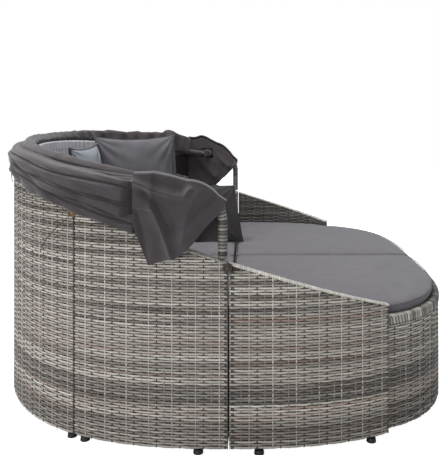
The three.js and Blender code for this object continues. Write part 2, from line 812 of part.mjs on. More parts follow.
function seatFrame() {
  const inset = wallThickness + clearance + frameRadius;
  const frontX = -closingPanel - 2 * clearance - frameRadius;
  const end = angleAt(walls, frontX, inset);
  const half = outlineY(walls, frontX, inset);
  const bars = crossTubeShares.map(share => {
    const x = -share * walls.reach;
    const reach = outlineY(walls, x, inset);
    return crossTube(x, -reach, reach, railZ, crossRadius);
  });
  return joined([
    railAlong(walls, stations(-end, end), inset, frameRadius, railZ),
    crossTube(frontX, -half, half, railZ, frameRadius),
    ...bars,
  ]);
}

function frontFrame() {
  const inset = frontSkinInset + skin + clearance + frameRadius;
  const start = angleAt(frontCurve, wingEndX + frameRadius, inset);
  const curve = stations(start, 2 * Math.PI - start);
  const posts = frontPostShares.map(share => {
    const [x, y] = planPoint(frontCurve, Math.PI + share * (Math.PI - start), inset);
    return upTube(x, y, lowRailZ, railZ, uprightRadius);
  });
  const bars = frontCrossTubeShares.map(share => share * wingEndX);
  const half = outlineY(frontCurve, wingEndX + frameRadius, inset);
  const runnerY = half - 2 * frameRadius;
  const runners = [1, -1].map(side => (
    lengthTube(bars[0], wingEndX + frameRadius, side * runnerY, railZ, runnerRadius)
  ));
  const crossBars = bars.map(x => {
    const reach = outlineY(walls, x + frameRadius, wingThickness + clearance);
    return crossTube(x, -reach, reach, railZ, crossRadius);
  });
  return joined([
    railAlong(frontCurve, curve, inset, frameRadius, railZ),
    railAlong(frontCurve, curve, inset, frameRadius, lowRailZ),
    crossTube(wingEndX + frameRadius, -half, half, railZ, frameRadius),
    ...posts, ...runners, ...crossBars,
  ]);
}

function addSofa(group) {
  addWall(group, 'back', stations(-seamAngle + halfSeam, seamAngle - halfSeam), 13);
  for (const [name, side] of Object.entries(sides)) {
    const angles = sideStations(seamAngle + halfSeam, sofaEndAngle, side);
    addWall(group, `${name}_side`, angles, 4);
    const loop = sweep(loopPath(side), [0, 1, 0], () => roundRing(loopRadius, 12));
    part(group, `${name}_arm_loop`, loop, 'wrap');
    const middle = wallThickness / 2;
    const inFromEnd = 2 * glideRadius / walls.reach;
    addGlide(group, `${name}_back_glide`, walls, side * (seamAngle - inFromEnd), middle);
    addGlide(group, `${name}_side_rear_glide`, walls, side * (seamAngle + inFromEnd), middle);
    addGlide(group, `${name}_side_front_glide`, walls, side * (sofaEndAngle - 2 * inFromEnd), middle);
  }
  part(group, 'seat_frame', seatFrame(), 'steel');
  const deckFront = -clearance;
  part(group, 'seat_deck', plate(
    sofaOutline(wallThickness + clearance, deckFront), deckTop - deckThickness, deckThickness,
  ), 'rattan');
  const panelHalf = outlineY(walls, -closingPanel, wallThickness + clearance);
  part(group, 'sofa_closing_panel', boxBetween(
    -closingPanel - clearance, -clearance, -panelHalf, panelHalf,
    wallBottom, deckTop - deckThickness - clearance,
  ), 'rattan');
}

// One half of the seat, cut straight along the middle
function seatCushion() {
  const inset = wallThickness + cushionGap;
  const frontX = -cushionGap;
  const back = planPoint(walls, cushionSplit / walls.halfWidth, inset)[0];
  const curve = stations(facetAngle, angleAt(walls, frontX, inset))
    .map(angle => planPoint(walls, angle, inset));
  const ends = [[frontX, cushionSplit], [back, cushionSplit]];
  const outline = [
    ...curve, ...between(curve[curve.length - 1], ends[0], 4),
    ends[0], ...between(...ends, 4), ends[1],
  ];
  const middle = [back / 2, outlineY(walls, back / 2, inset) / 2];
  return cushion(outline, deckTop + clearance, middle);
}

function addSeatCushions(group) {
  const surfaces = Object.entries(sides).map(([name, side]) => {
    const half = mirrored(seatCushion(), side);
    part(group, `${name}_seat_cushion`, half, 'cushion');
    return half;
  });
  for (const [name, size] of Object.entries(pillows)) {
    part(group, name, loweredOnto(pillow(size), surfaces), size.colour);
  }
}

function addCanopy(group) {
  for (const [name, side] of Object.entries(sides)) {
    part(group, `${name}_pivot_bracket`, pivotBracket(side), 'steel');
    part(group, `${name}_pivot_bolt`, pivotBolt(side), 'bolt');
    part(group, `${name}_flap`, sideFlap(side), 'canopy');
  }
  for (const [name, bow] of Object.entries(bows)) part(group, `${name}_bow`, bowTube(bow), 'steel');
  part(group, 'front_bow_sleeve', bowSleeve(bows.front), 'canopy');
  part(group, 'canopy_skirt', fabricBand(bandShares[0], bandShares[1]), 'canopy');
  part(group, 'canopy_rear_panel', fabricBand(bandShares[1], bandShares[2]), 'canopy');
  part(group, 'canopy_front_panel', fabricBand(bandShares[2], bandShares[3]), 'canopy');
  part(group, 'lining', liningCloth(), 'canopy');
}

// Knots hang just outside the woven wall, and the loose ends start at them
function addTies(group) {
  const out = knotRadius + clearance;
  const seamPlace = planPoint(walls, -seamAngle, -out);
  const backPlace = planPoint(walls, -backTieAngle, -out);
  const frontPlace = planPoint(walls, -sofaEndAngle, -out);
  const ties = {
    right_seam: [[...seamPlace, rimZ(seamPlace[0]) - 2 * knotRadius], [
      [-3, -1, -6], [-14, -7, -16], [-34, -14, -34], [-60, -18, -60], [-84, -18, -92], [-98, -16, -122],
    ]],
    back: [[...backPlace, rimZ(backPlace[0]) - 3 * knotRadius], [
      [-4, 0, -6], [-7, 1, -18], [-6, 2, -34], [-3, 2, -50],
    ]],
    right_front: [[...frontPlace, rimZ(frontPlace[0]) - 2 * knotRadius], [
      [3, -1, -6], [7, -4, -16], [10, -5, -28], [11, -5, -42],
    ]],
  };
  for (const [name, [place, route]] of Object.entries(ties)) {
    part(group, `${name}_tie_knot`, knot(place), 'string');
    const start = new THREE.Vector3(...route[0]).normalize().multiplyScalar(knotRadius + clearance);
    const offsets = [start.toArray(), ...route.slice(1)];
    const points = offsets.map(offset => offset.map((value, i) => place[i] + value));
    part(group, `${name}_tie_end`, stringEnd(points), 'string');
  }
}

function addFrontSection(group) {
  for (const [name, side] of Object.entries(sides)) {
    addWing(group, `${name}_wing`, side);
    const middle = wingThickness / 2;
    const inFromEnd = 2 * glideRadius / walls.reach;
    addGlide(group, `${name}_wing_rear_glide`, walls, side * (wingStartAngle + 2 * inFromEnd), middle);
    addGlide(group, `${name}_wing_front_glide`, walls, side * (wingEndAngle - 2 * inFromEnd), middle);
  }
  const start = angleAt(frontCurve, wingEndX - frontRimWidth, 0);
  const startX = wingEndX + clearance;
  const curve = stations(start, 2 * Math.PI - start);
  const rimBase = frontRimTop - frontRimHeight;
  part(group, 'front_skirt_weave', aheadOfX(along(frontCurve, curve, [
    [frontSkinInset, wallBottom], [frontSkinInset, rimBase - clearance],
    [frontSkinInset + skin, rimBase - clearance], [frontSkinInset + skin, wallBottom],
  ]), startX), 'rattan');
  const rimRound = wallEdge;
  part(group, 'front_rim', aheadOfX(along(frontCurve, curve, [
    [0, rimBase + rimRound], [0, frontRimTop - rimRound], [rimRound, frontRimTop],
    [frontRimWidth - rimRound, frontRimTop], [frontRimWidth, frontRimTop - rimRound],
    [frontRimWidth, rimBase], [rimRound / 2, rimBase],
  ]), startX), 'rattan');
  part(group, 'front_frame', frontFrame(), 'steel');
  addGlide(group, 'front_glide', frontCurve, Math.PI, frontSkinInset + skin + clearance + frameRadius);
  const deckHalf = frontHalfOutline(clearance, wingThickness + clearance, frontRimWidth + clearance);
  const deck = [...deckHalf, ...deckHalf.slice(0, -1).reverse().map(([x, y]) => [x, -y])];
  part(group, 'front_deck', plate(deck, deckTop - deckThickness, deckThickness), 'rattan');
  const panelHalf = outlineY(walls, closingPanel, wingThickness + clearance);
  part(group, 'front_closing_panel', boxBetween(
    clearance, closingPanel + clearance, -panelHalf, panelHalf,
    wallBottom, deckTop - deckThickness - clearance,
  ), 'rattan');
}

function addFrontCushions(group) {
  for (const [name, side] of Object.entries(sides)) {
    const half = frontHalfOutline(cushionGap, wingThickness + cushionGap, frontCushionEdgeInset).slice(0, -1);
    const tip = planPoint(frontCurve, Math.PI, frontCushionEdgeInset)[0];
    const ends = [[tip, cushionSplit], [cushionGap, cushionSplit]];
    const outline = [
      ...half, ends[0], ...between(ends[0], ends[1], 5), ends[1], ...between(ends[1], half[0], 4),
    ];
    const middle = [tip / 2, half[0][1] / 2];
    const shape = cushion(outline, deckTop + clearance, middle);
    part(group, `${name}_front_cushion`, mirrored(shape, side), 'cushion');
  }
}

const sofaSection = new THREE.Group();
addSofa(sofaSection);
addSeatCushions(sofaSection);
addTies(sofaSection);

const canopy = new THREE.Group();
addCanopy(canopy);

const frontSection = new THREE.Group();
addFrontSection(frontSection);
addFrontCushions(frontSection);

// The origin is on the floor under the middle of the whole length
const assembly = new THREE.Group();
assembly.position.x = (walls.reach + bandProud - frontCurve.reach) / 2;
assembly.add(sofaSection, canopy, frontSection);

const daybed = new THREE.Group();
daybed.add(assembly);

export default daybed;
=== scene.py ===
# %% [markdown]
# # A round outdoor daybed with its canopy folded back
# The daybed stands on a terrace in two sections: a sofa with high woven walls, and a low round
# front section that closes the circle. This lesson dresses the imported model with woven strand,
# cushions and cloth. Every length is in metres, with +X towards the foot end and +Z up.

import bpy
import numpy as np
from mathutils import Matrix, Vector


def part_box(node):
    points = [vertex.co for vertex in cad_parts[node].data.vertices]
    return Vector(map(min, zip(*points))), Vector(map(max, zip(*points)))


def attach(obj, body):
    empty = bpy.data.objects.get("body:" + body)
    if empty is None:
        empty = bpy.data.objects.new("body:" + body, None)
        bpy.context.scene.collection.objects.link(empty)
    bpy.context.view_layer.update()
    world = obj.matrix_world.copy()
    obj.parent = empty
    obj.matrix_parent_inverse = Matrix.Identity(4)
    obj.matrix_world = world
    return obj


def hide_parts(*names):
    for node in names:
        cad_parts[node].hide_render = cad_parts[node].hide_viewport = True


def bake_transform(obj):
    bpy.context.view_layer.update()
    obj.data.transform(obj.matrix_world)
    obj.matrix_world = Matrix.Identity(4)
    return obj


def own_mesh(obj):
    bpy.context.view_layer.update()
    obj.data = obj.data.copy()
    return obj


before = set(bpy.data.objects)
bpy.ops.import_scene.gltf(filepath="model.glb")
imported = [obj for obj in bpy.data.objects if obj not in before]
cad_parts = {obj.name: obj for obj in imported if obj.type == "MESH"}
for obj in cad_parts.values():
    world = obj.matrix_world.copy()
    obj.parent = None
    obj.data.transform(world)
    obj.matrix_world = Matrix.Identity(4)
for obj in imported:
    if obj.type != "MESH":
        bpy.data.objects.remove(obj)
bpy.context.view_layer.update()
rng = np.random.default_rng(7)

# %% [markdown]
# ## The plan
# Seen from above, the walls follow a superellipse, which is an ellipse with fuller corners. Two
# numbers and a power say all of it, so each strand and cushion can take its place from them.

# %% Plan outlines and heights
WALLS = (0.893, 0.900, 2.48)
FRONT = (0.809, 0.833, 3.44)
PLAN_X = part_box("front_rim")[1].x - FRONT[0]
WALL_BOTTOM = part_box("back_weave")[0].z
RIM_AT_CENTRE = 0.591
RIM_SLOPE = 0.308
WALL_THICKNESS = 0.036
WING_THICKNESS = 0.0266
SEAM_X = -0.498
SECTION_GAP = 0.006
WING_END_X = 0.511
DECK_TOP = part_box("seat_deck")[1].z
FRONT_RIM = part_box("front_rim")


def outline(shape, angle, inset=0.0):
    """Superellipse: cosine and sine of the angle, each raised to two over the power, times the reach."""
    reach, half, power = shape
    along, across = np.cos(angle), np.sin(angle)
    x = -(reach - inset) * np.sign(along) * np.abs(along) ** (2 / power)
    y = (half - inset) * np.sign(across) * np.abs(across) ** (2 / power)
    return np.stack([PLAN_X + x, y], axis=-1)


def angle_at(shape, x, inset=0.0):
    """Angle on the +Y side at a distance x ahead of the plan centre."""
    reach, _, power = shape
    share = np.clip(-x / (reach - inset), -1, 1)
    return np.arccos(np.sign(share) * np.abs(share) ** (power / 2))


def half_width(shape, x, inset=0.0):
    """Distance from the middle to the outline, a distance x ahead of the plan centre."""
    return outline(shape, angle_at(shape, x, inset), inset)[..., 1]


def rim_height(x):
    """The rims of all the high walls lie in one plane that slopes down to the front."""
    return RIM_AT_CENTRE - RIM_SLOPE * (x - PLAN_X)


def unit(vectors):
    """Each vector divided by its own length."""
    return vectors / np.linalg.norm(vectors, axis=-1, keepdims=True)


def travelled(points):
    """Length of a line up to each of its points."""
    return np.concatenate([[0], np.cumsum(np.linalg.norm(np.diff(points, axis=0), axis=1))])


def evenly(points, step):
    """The same line with its points a step apart, by linear interpolation over its length."""
    length = travelled(points)
    count = max(int(round(length[-1] / step)), 4)
    places = np.linspace(0, length[-1], count + 1)
    return np.stack([np.interp(places, length, column) for column in points.T], axis=1)


def outward(path):
    """Direction across a flat line at each of its points, away from the plan centre."""
    forward = unit(np.gradient(path, axis=0))
    across = np.stack([forward[:, 1], -forward[:, 0]], axis=1)
    return across * np.sign((across * (path - (PLAN_X, 0))).sum(axis=1, keepdims=True))


def at_height(flat, height):
    """Points of the plan lifted to one height, or to a height for each of them."""
    return np.concatenate([flat, np.broadcast_to(height, flat.shape[:-1])[..., None]], axis=-1)


def ramp(x, start, end):
    """Zero up to the start, then rising evenly to one at the end."""
    return np.clip((x - start) / (end - start), 0, 1)


def smooth(t):
    """Smooth step from 0 to 1: 3tt - 2ttt."""
    return t * t * (3 - 2 * t)


SEAM_ANGLE = float(angle_at(WALLS, SEAM_X))
SOFA_END_ANGLE = float(angle_at(WALLS, -SECTION_GAP / 2))
print("plan centre at x =", round(PLAN_X, 4))

# %% [markdown]
# ## Camera
# The photograph was taken level from the side with its horizon high above the seat, so upright
# lines stay upright. The lens is shifted down for that rather than tilted.

# %% Camera
CAMERA_PLACE = (PLAN_X + 0.064, -2.802, 1.0425)
FOCAL_PIXELS = 622
PHOTO_HEIGHT = 455
PHOTO_CENTRE = (220, 227.5)
OPTICAL_CENTRE = (249.3, 115.5)
SENSOR = 36.0

camera_data = bpy.data.cameras.new("camera")
camera_data.sensor_width = SENSOR
camera_data.lens = FOCAL_PIXELS / PHOTO_HEIGHT * SENSOR
camera_data.shift_x = -(OPTICAL_CENTRE[0] - PHOTO_CENTRE[0]) / PHOTO_HEIGHT
camera_data.shift_y = -(PHOTO_CENTRE[1] - OPTICAL_CENTRE[1]) / PHOTO_HEIGHT
camera = bpy.data.objects.new("camera", camera_data)
camera.location = CAMERA_PLACE
camera.rotation_euler = (np.pi / 2, 0, 0)
bpy.context.collection.objects.link(camera)
bpy.context.scene.camera = camera
print("lens", round(camera_data.lens, 1), "mm")

# %% [markdown]
# ## Making meshes from arrays
# A shape is worked out as one array of points, row after row. Neighbouring rows are joined by
# squares, and the ends of a tube are closed with fans. The signed volume says whether the faces
# point outwards, and if they don't, the corners of every face are read backwards.

# %% Mesh helpers
def grid_quads(rows, columns, first=0, wrap=True):
    """Corner numbers of the squares between rows; wrap joins the last column to the first."""
    row = np.arange(rows - 1)[:, None]
    column = np.arange(columns if wrap else columns - 1)[None, :]
    here = first + row * columns + column
    beside = first + row * columns + (column + 1) % columns
    return np.stack([here, beside, beside + columns, here + columns], axis=-1).reshape(-1, 4)


def fan(ring):
    """Triangles that close a ring of corner numbers from its first corner."""
    return np.stack([np.full(len(ring) - 2, ring[0]), ring[1:-1], ring[2:]], axis=1)


def signed_volume(points, faces):
    """Sum of the tetrahedra between the origin and each face's triangles."""
    total = 0.0
    for face in faces:
        for k in range(1, face.shape[1] - 1):
            a, b, c = points[face[:, 0]], points[face[:, k]], points[face[:, k + 1]]
            total += np.einsum("ij,ij->i", a, np.cross(b, c)).sum()
    return total


def add_piece(name, points, faces, material, closed=True, tint=None):
    """Puts the arrays into a mesh object at the origin, with a tint for each point."""
    points = np.asarray(points, dtype=float)
    if closed and signed_volume(points - points.mean(axis=0), faces) < 0:
        faces = [face[:, ::-1] for face in faces]
    corners = np.concatenate([face.ravel() for face in faces]).astype(np.int32)
    sizes = np.concatenate([np.full(len(face), face.shape[1]) for face in faces])
    starts = np.concatenate([[0], np.cumsum(sizes)[:-1]]).astype(np.int32)
    mesh = bpy.data.meshes.new(name)
    mesh.vertices.add(len(points))
    mesh.vertices.foreach_set("co", points.astype(np.float32).ravel())
    mesh.loops.add(len(corners))
    mesh.loops.foreach_set("vertex_index", corners)
    mesh.polygons.add(len(sizes))
    mesh.polygons.foreach_set("loop_start", starts)
    mesh.polygons.foreach_set("use_smooth", np.ones(len(sizes), dtype=bool))
    if tint is not None:
        mesh.attributes.new("tint", "FLOAT_COLOR", "POINT").data.foreach_set("color", tint.ravel())
    mesh.materials.append(material)
    mesh.update(calc_edges=True)
    piece = bpy.data.objects.new(name, mesh)
    bpy.context.collection.objects.link(piece)
    return piece


def add_tubes(name, tubes, material, tint=None):
    """Many closed tubes in one mesh, such as all the strands of a wall. Each is an array of sections,
    path by ring by three, with squares round it and a fan at each end."""
    squares, fans, first = [], [], 0
    for rows, columns in (tube.shape[:2] for tube in tubes):
        ring = np.arange(columns) + first
        squares.append(grid_quads(rows, columns, first))
        fans += [fan(ring[::-1]), fan(ring + (rows - 1) * columns)]
        first += rows * columns
    points = np.concatenate([tube.reshape(-1, 3) for tube in tubes])
    return add_piece(name, points, [np.concatenate(squares), np.concatenate(fans)], material, tint=tint)


def add_tube(name, sections, material, tint=None):
    """One closed tube through an array of sections."""
    return add_tubes(name, [sections], material, tint)


def shell(name, outer, inner, material):
    """One thin closed body between two skins, such as a sheet of cloth."""
    return add_tube(name, np.concatenate([outer, inner[:, ::-1]], axis=1), material)


def sweep(path, ring, up=(0, 0, 1)):
    """Carries rings of (out, up) offsets along a path, kept upright by a fixed direction."""
    forward = unit(np.gradient(path, axis=0))
    side = unit(np.cross(forward, np.asarray(up, dtype=float)))
    lift = np.cross(side, forward)
    ring = np.broadcast_to(ring, (len(path),) + np.shape(ring)[-2:])
    return path[:, None] + ring[..., :1] * side[:, None] + ring[..., 1:] * lift[:, None]


def circle(count, radius=1.0):
    """Ring of offsets round a centre."""
    turn = np.arange(count) * 2 * np.pi / count
    return radius * np.stack([np.cos(turn), np.sin(turn)], axis=1)

# %% [markdown]
# ## Finishes
# Each finish starts from what the real surface is. Colours are written as they show on a screen
# and turned into light values once, by one function. Noise in object coordinates gives every
# surface the small unevenness that keeps it from looking like plain paint.

# %% Finish helpers
def linear(colour):
    """sRGB hex to linear red, green, blue and alpha."""
    part = np.array([int(colour[i:i + 2], 16) for i in (1, 3, 5)]) / 255
    light = np.where(part <= 0.04045, part / 12.92, ((part + 0.055) / 1.055) ** 2.4)
    return (*light, 1.0)


def node(tree, kind, links=None, **settings):
    """Adds a node, sets its properties or sockets and joins its inputs."""
    made = tree.nodes.new(f"ShaderNode{kind}")
    for name, value in settings.items():
        if hasattr(made, name):
            setattr(made, name, value)
        else:
            made.inputs[name.replace("_", " ").title()].default_value = value
    for name, source in (links or {}).items():
        tree.links.new(source, made.inputs[name])
    return made


def new_finish(name, **values):
    """A material with one Principled shader, whose sockets take typical values for the stuff."""
    material = bpy.data.materials.new(name)
    material.use_nodes = True
    tree = material.node_tree
    shader = tree.nodes["Principled BSDF"]
    for socket, value in values.items():
        shader.inputs[socket.replace("_", " ")].default_value = value
    return material, tree, shader


def grain(tree, size, stretch=(1, 1, 1), detail=3.0):
    """Noise whose features are about that size, in metres, longer where stretch is larger."""
    place = node(tree, "TexCoord")
    scale = tuple(1 / (size * way) for way in stretch)
    mapped = node(tree, "Mapping", {"Vector": place.outputs["Object"]}, scale=scale)
    return node(tree, "TexNoise", {"Vector": mapped.outputs["Vector"]}, scale=1.0, detail=detail)


def uneven(tree, shader, noise, colour, low, high, bump, depth):
    """Shades the base colour by the noise between two shares, and lets the noise raise the surface."""
    shade = node(tree, "MapRange", {"Value": noise.outputs["Fac"]},
                 from_min=0.3, from_max=0.7, to_min=low, to_max=high)
    mixed = node(tree, "VectorMath", {"Scale": shade.outputs["Result"]}, operation="SCALE")
    if isinstance(colour, tuple):
        mixed.inputs["Vector"].default_value = colour[:3]
    else:
        tree.links.new(colour, mixed.inputs["Vector"])
    tree.links.new(mixed.outputs["Vector"], shader.inputs["Base Color"])
    raised = node(tree, "Bump", {"Height": noise.outputs["Fac"]}, strength=bump, distance=depth)
    tree.links.new(raised.outputs["Normal"], shader.inputs["Normal"])


# %% [markdown]
# Woven strand is flat extruded polyethylene. It has a soft satin gloss and fine grooves along its
# length. Its colour drifts from grey to beige, so the mesh carries a tint for each strand. The tint
# also holds painted shade: between wound turns, on inner faces, at the seams and on gap stakes.

# %% Strand finishes
def strand_finish(name, roughness, stretch):
    """Flat strand: satin, with grooves 1.4 mm apart that run where the stretch is large."""
    material, tree, shader = new_finish(name, Roughness=roughness, IOR=1.5)
    tint = node(tree, "Attribute", attribute_name="tint")
    uneven(tree, shader, grain(tree, 0.0014, stretch), tint.outputs["Color"], 0.78, 1.15, 0.4, 0.0004)
    return material


woven_strand = strand_finish("woven_polyethylene_strand", 0.42, (8, 8, 1))
wrapped_strand = strand_finish("wrapped_polyethylene_strand", 0.45, (1, 1, 4))
# The cores are painted dark: painted shade of the hollow inside a wall, seen through the gaps between
# strands.
painted_shade_core, _, _ = new_finish("painted_shade_in_gaps", Base_Color=linear("#423d38"), Roughness=0.85)


# %% Cloth finishes
def cloth_finish(name, colour, thread, low, high, sheen):
    """Woven outdoor cloth: crossed waves for its threads, broad noise for wear and a soft sheen. The
    waves are drawn as coarse as they need to be to show, with a bump of a quarter of a thread."""
    material, tree, shader = new_finish(name, Roughness=0.88, Sheen_Weight=sheen, Sheen_Roughness=0.5)
    uneven(tree, shader, grain(tree, 0.05, detail=4.0), linear(colour), low, high, 0.25, 0.0015)
    bump = shader.inputs["Normal"].links[0].from_node
    place = node(tree, "TexCoord")
    for way in ("X", "Z"):
        threads = node(tree, "TexWave", {"Vector": place.outputs["Object"]},
                       bands_direction=way, scale=0.05 / thread, distortion=0.4)
        bump = node(tree, "Bump",
                    {"Height": threads.outputs["Fac"], "Normal": bump.outputs["Normal"]},
                    strength=0.3, distance=thread / 4)
    tree.links.new(bump.outputs["Normal"], shader.inputs["Normal"])
    return material


cushion_cloth = cloth_finish("cushion_outdoor_cloth", "#666368", 0.0011, 0.9, 1.08, 0.25)
pillow_cloth = cloth_finish("pillow_outdoor_cloth", "#5a585d", 0.0011, 0.88, 1.1, 0.25)
canopy_cloth = cloth_finish("canopy_polyester_cloth", "#3e383b", 0.0007, 0.86, 1.12, 0.3)
lining_cloth = cloth_finish("lining_polyester_cloth", "#c2c0c5", 0.0007, 0.9, 1.1, 0.2)
light_cloth = cloth_finish("light_outdoor_cloth", "#7f858f", 0.0011, 0.92, 1.06, 0.2)
dark_cloth = cloth_finish("dark_outdoor_cloth", "#3c393a", 0.0011, 0.9, 1.1, 0.25)
piping_cloth = cloth_finish("piping_cloth", "#605d62", 0.0009, 0.9, 1.1, 0.1)
tie_string = cloth_finish("braided_tie_string", "#47403c", 0.0008, 0.8, 1.2, 0.1)


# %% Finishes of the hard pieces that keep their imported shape
def hard_finish(name, colour, size, low, high, stretch=(1, 1, 1), bump=0.15, **values):
    """Metal, plastic or wood whose grain is about that size, raised by a twentieth of it."""
    material, tree, shader = new_finish(name, **values)
    uneven(tree, shader, grain(tree, size, stretch), linear(colour), low, high, bump, size / 20)
    return material


coated_steel = hard_finish("powder_coated_steel", "#4a4a4c", 0.0015, 0.93, 1.05, Roughness=0.5)
bow_metal = hard_finish("anodised_aluminium", "#5b5a5c", 0.002, 0.95, 1.03, (1, 6, 1),
                        Metallic=1.0, Roughness=0.35)
bolt_metal = hard_finish("blackened_steel", "#4c4a49", 0.002, 0.92, 1.05, Metallic=1.0, Roughness=0.45)
glide_plastic = hard_finish("moulded_polyethylene", "#232324", 0.004, 0.9, 1.1, Roughness=0.5)
raffia = hard_finish("raffia_tie", "#7d6a4e", 0.004, 0.25, 1.8, bump=0.4, Roughness=0.8)
deck_wood = hard_finish("stained_plywood", "#7d6c5b", 0.006, 0.75, 1.15, (14, 1, 1), 0.3, Roughness=0.6)

SIDES = {"left": 1, "right": -1}
# Finish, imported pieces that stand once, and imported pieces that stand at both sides
KEPT = (
    (coated_steel, ("back_frame", "seat_frame", "front_frame"),
     ("side_frame", "wing_frame", "pivot_bracket")),
    (bolt_metal, (), ("pivot_bolt",)),
    (glide_plastic, ("front_glide",),
     ("back_glide", "side_rear_glide", "side_front_glide", "wing_rear_glide", "wing_front_glide")),
    (deck_wood, ("seat_deck", "front_deck"), ()),
)
for material, single, paired in KEPT:
    for name in (*single, *(f"{side}_{part}" for side in SIDES for part in paired)):
        mesh = bpy.data.objects[name].data
        mesh.materials.clear()
        mesh.materials.append(material)


def dress(piece, body, slot, *nodes):
    """Says what a new piece rides on and hides the imported pieces that it stands for. The slot is not used.
    """
    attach(piece, body)
    if nodes:
        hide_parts(*nodes)
    return piece


# %% [markdown]
# ## Tie strings
# Three short strings hang from knots on the rim. Each is a smooth curve through its points. A knot
# is a ball with loops thrown round it, each an ellipse turned by its own angles. Only the knot at
# the right seam is of raffia; the others are of tie string.

# %% Tie strings
# Distance from the middle of a knot at which its string comes out
KNOT = 0.0073
KNOT_BALL = 0.0085
RAFFIA = 0.0017
RAFFIA_STAND = 0.005
# Half width, half height and turn in degrees of each loop of raffia
KNOT_LOOPS = ((0.014, 0.009, 20), (0.012, 0.012, 75), (0.009, 0.015, 130), (0.013, 0.007, 165),
              (0.010, 0.011, -30))
TIE_DIAMETER = 0.003
# Points of each string in millimetres from the middle of its knot
TIE_ROUTES = {
    "right_seam": [(-3, -1, -6), (-14, -7, -16), (-34, -14, -34), (-60, -18, -60), (-84, -18, -92),
                   (-98, -16, -122)],
    "back": [(-4, 0, -6), (-7, 1, -18), (-6, 2, -34), (-3, 2, -50)],
    "right_front": [(3, -1, -6), (7, -4, -16), (10, -5, -28), (11, -5, -42)],
}


def smooth_line(points, count):
    """Catmull-Rom spline through the points, sampled evenly."""
    ends = [2 * points[0] - points[1], *points, 2 * points[-1] - points[-2]]
    t = np.linspace(0, 1, 24, endpoint=False)[:, None]
    runs = [0.5 * (2 * b + (c - a) * t + (2 * a - 5 * b + 4 * c - d) * t ** 2
                   + (3 * b - a - 3 * c + d) * t ** 3)
            for a, b, c, d in zip(ends, ends[1:], ends[2:], ends[3:])]
    line = np.concatenate([*runs, [points[-1]]])
    return evenly(line, travelled(line)[-1] / count)


def ball(centre, radius, steps=14):
    """Sphere as rows from pole to pole."""
    polar = np.linspace(0.04, np.pi - 0.04, steps)[:, None]
    x, y = circle(steps + 4).T
    return centre + radius * np.stack([np.sin(polar) * x, np.sin(polar) * y, np.cos(polar) + 0 * x], axis=-1)


def raffia_loop(centre, half_width, half_height, turn):
    """Closed ellipse that lies against the wall; its ends overlap by one step."""
    angle = np.linspace(0, 2 * np.pi, 26)
    a = np.radians(turn)
    x, z = half_width * np.cos(angle), half_height * np.sin(angle)
    line = centre + np.stack([x * np.cos(a) - z * np.sin(a), RAFFIA_STAND * np.cos(2 * angle + a),
                              x * np.sin(a) + z * np.cos(a)], axis=-1)
    return sweep(line, circle(6, RAFFIA), (0.1, 1, 0.1))


for name, route in TIE_ROUTES.items():
    centre = np.mean(np.array(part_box(f"{name}_tie_knot")), axis=0)
    offsets = np.array(route) / 1000
    offsets[0] *= KNOT / np.linalg.norm(offsets[0])
    line = smooth_line(list(centre + offsets), 60)
    string = sweep(line, circle(8, TIE_DIAMETER / 2), (1, 0, 0.2))
    tie = dress(add_tube(f"{name}_tie_string", string, tie_string),
                "sofa_section", "tie_string", f"{name}_tie_end")
    loops = [ball(centre, KNOT_BALL)] + [raffia_loop(centre, *loop) for loop in KNOT_LOOPS]
    knot = dress(add_tubes(f"{name}_tied_knot", loops, raffia if name == "right_seam" else tie_string),
                 "sofa_section", "tie_string", f"{name}_tie_knot")

# %% [markdown]
# ## The weave
# Upright stakes stand 24 mm apart. A strand passes in front of two stakes and behind the third,
# and the next row does the opposite, so light dashes lie between rows of dots. A strand is a flat
# tube whose middle swings in and out, so one array of path points times one wave makes a row.

# %% Weave sizes and colours
STAKE_STEP = 0.0243
STEPS_PER_STAKE = 4
ROW_STEP = 0.0084
STRAND_HALF_WIDTH = 0.0039
STRAND_CROWN = 0.0009
WEAVE_SWING = 0.0014
REPEAT = 3
STAKE_RING = np.array([(0.0012, -0.0017), (0.0012, 0.0017), (-0.0012, 0.0017), (-0.0012, -0.0017)])
PIECE_POINTS = 90_000
# Heights at which the shade of the rows changes, and the shade from there up, from dark to light
BAND_HEIGHTS = (0.022, 0.045, 0.098, 0.114, 0.160, 0.213, 0.268, 0.294, 0.404, 0.426)
BAND_SHARES = (0.50, 0.27, 0.52, 0.80, 0.15, 0.76, 0.48, 0.76, 0.46, 0.66)
BROWN_SHARES = (0.3, 0.45, 0.7, 0.8, 0.2, 0.5, 0.75, 0.6, 0.7, 0.4)
RIM_ROW_SHARES = (0.92, 0.78, 0.30, 0.24, 0.62)
LIGHT_STRAND, DARK_STRAND, BROWN_STRAND, STAKE_TINT = (
    np.array(linear(colour)) for colour in ("#d8d3c9", "#66615d", "#a08072", "#dad7cf"))
# Shade of a stake, by turns: one painted nearly black as the shade of a gap between strands, a bright one and
# a plain one
STAKE_SHADES = (0.14, 0.90, 0.42)
# How far the shade wanders: from row to row, along a strand and from one strand to the next
ROW_SPREAD, STRAND_DRIFT, JOIN_SPREAD = 0.13, 0.10, 0.11
# Steps of the path from one join of a strand to the next
JOIN_STEPS = 90


def row_shade(height):
    """Share of light and of brown in a row: by band up to 0.43 m, and light and dark by turns above."""
    band = max(np.searchsorted(BAND_HEIGHTS, height) - 1, 0)
    light, brown = BAND_SHARES[band], BROWN_SHARES[band]
    if height > BAND_HEIGHTS[-1]:
        light = RIM_ROW_SHARES[int(height / ROW_STEP) % len(RIM_ROW_SHARES)]
    return light + rng.normal(0, ROW_SPREAD), brown * rng.uniform(0.2, 1.0)


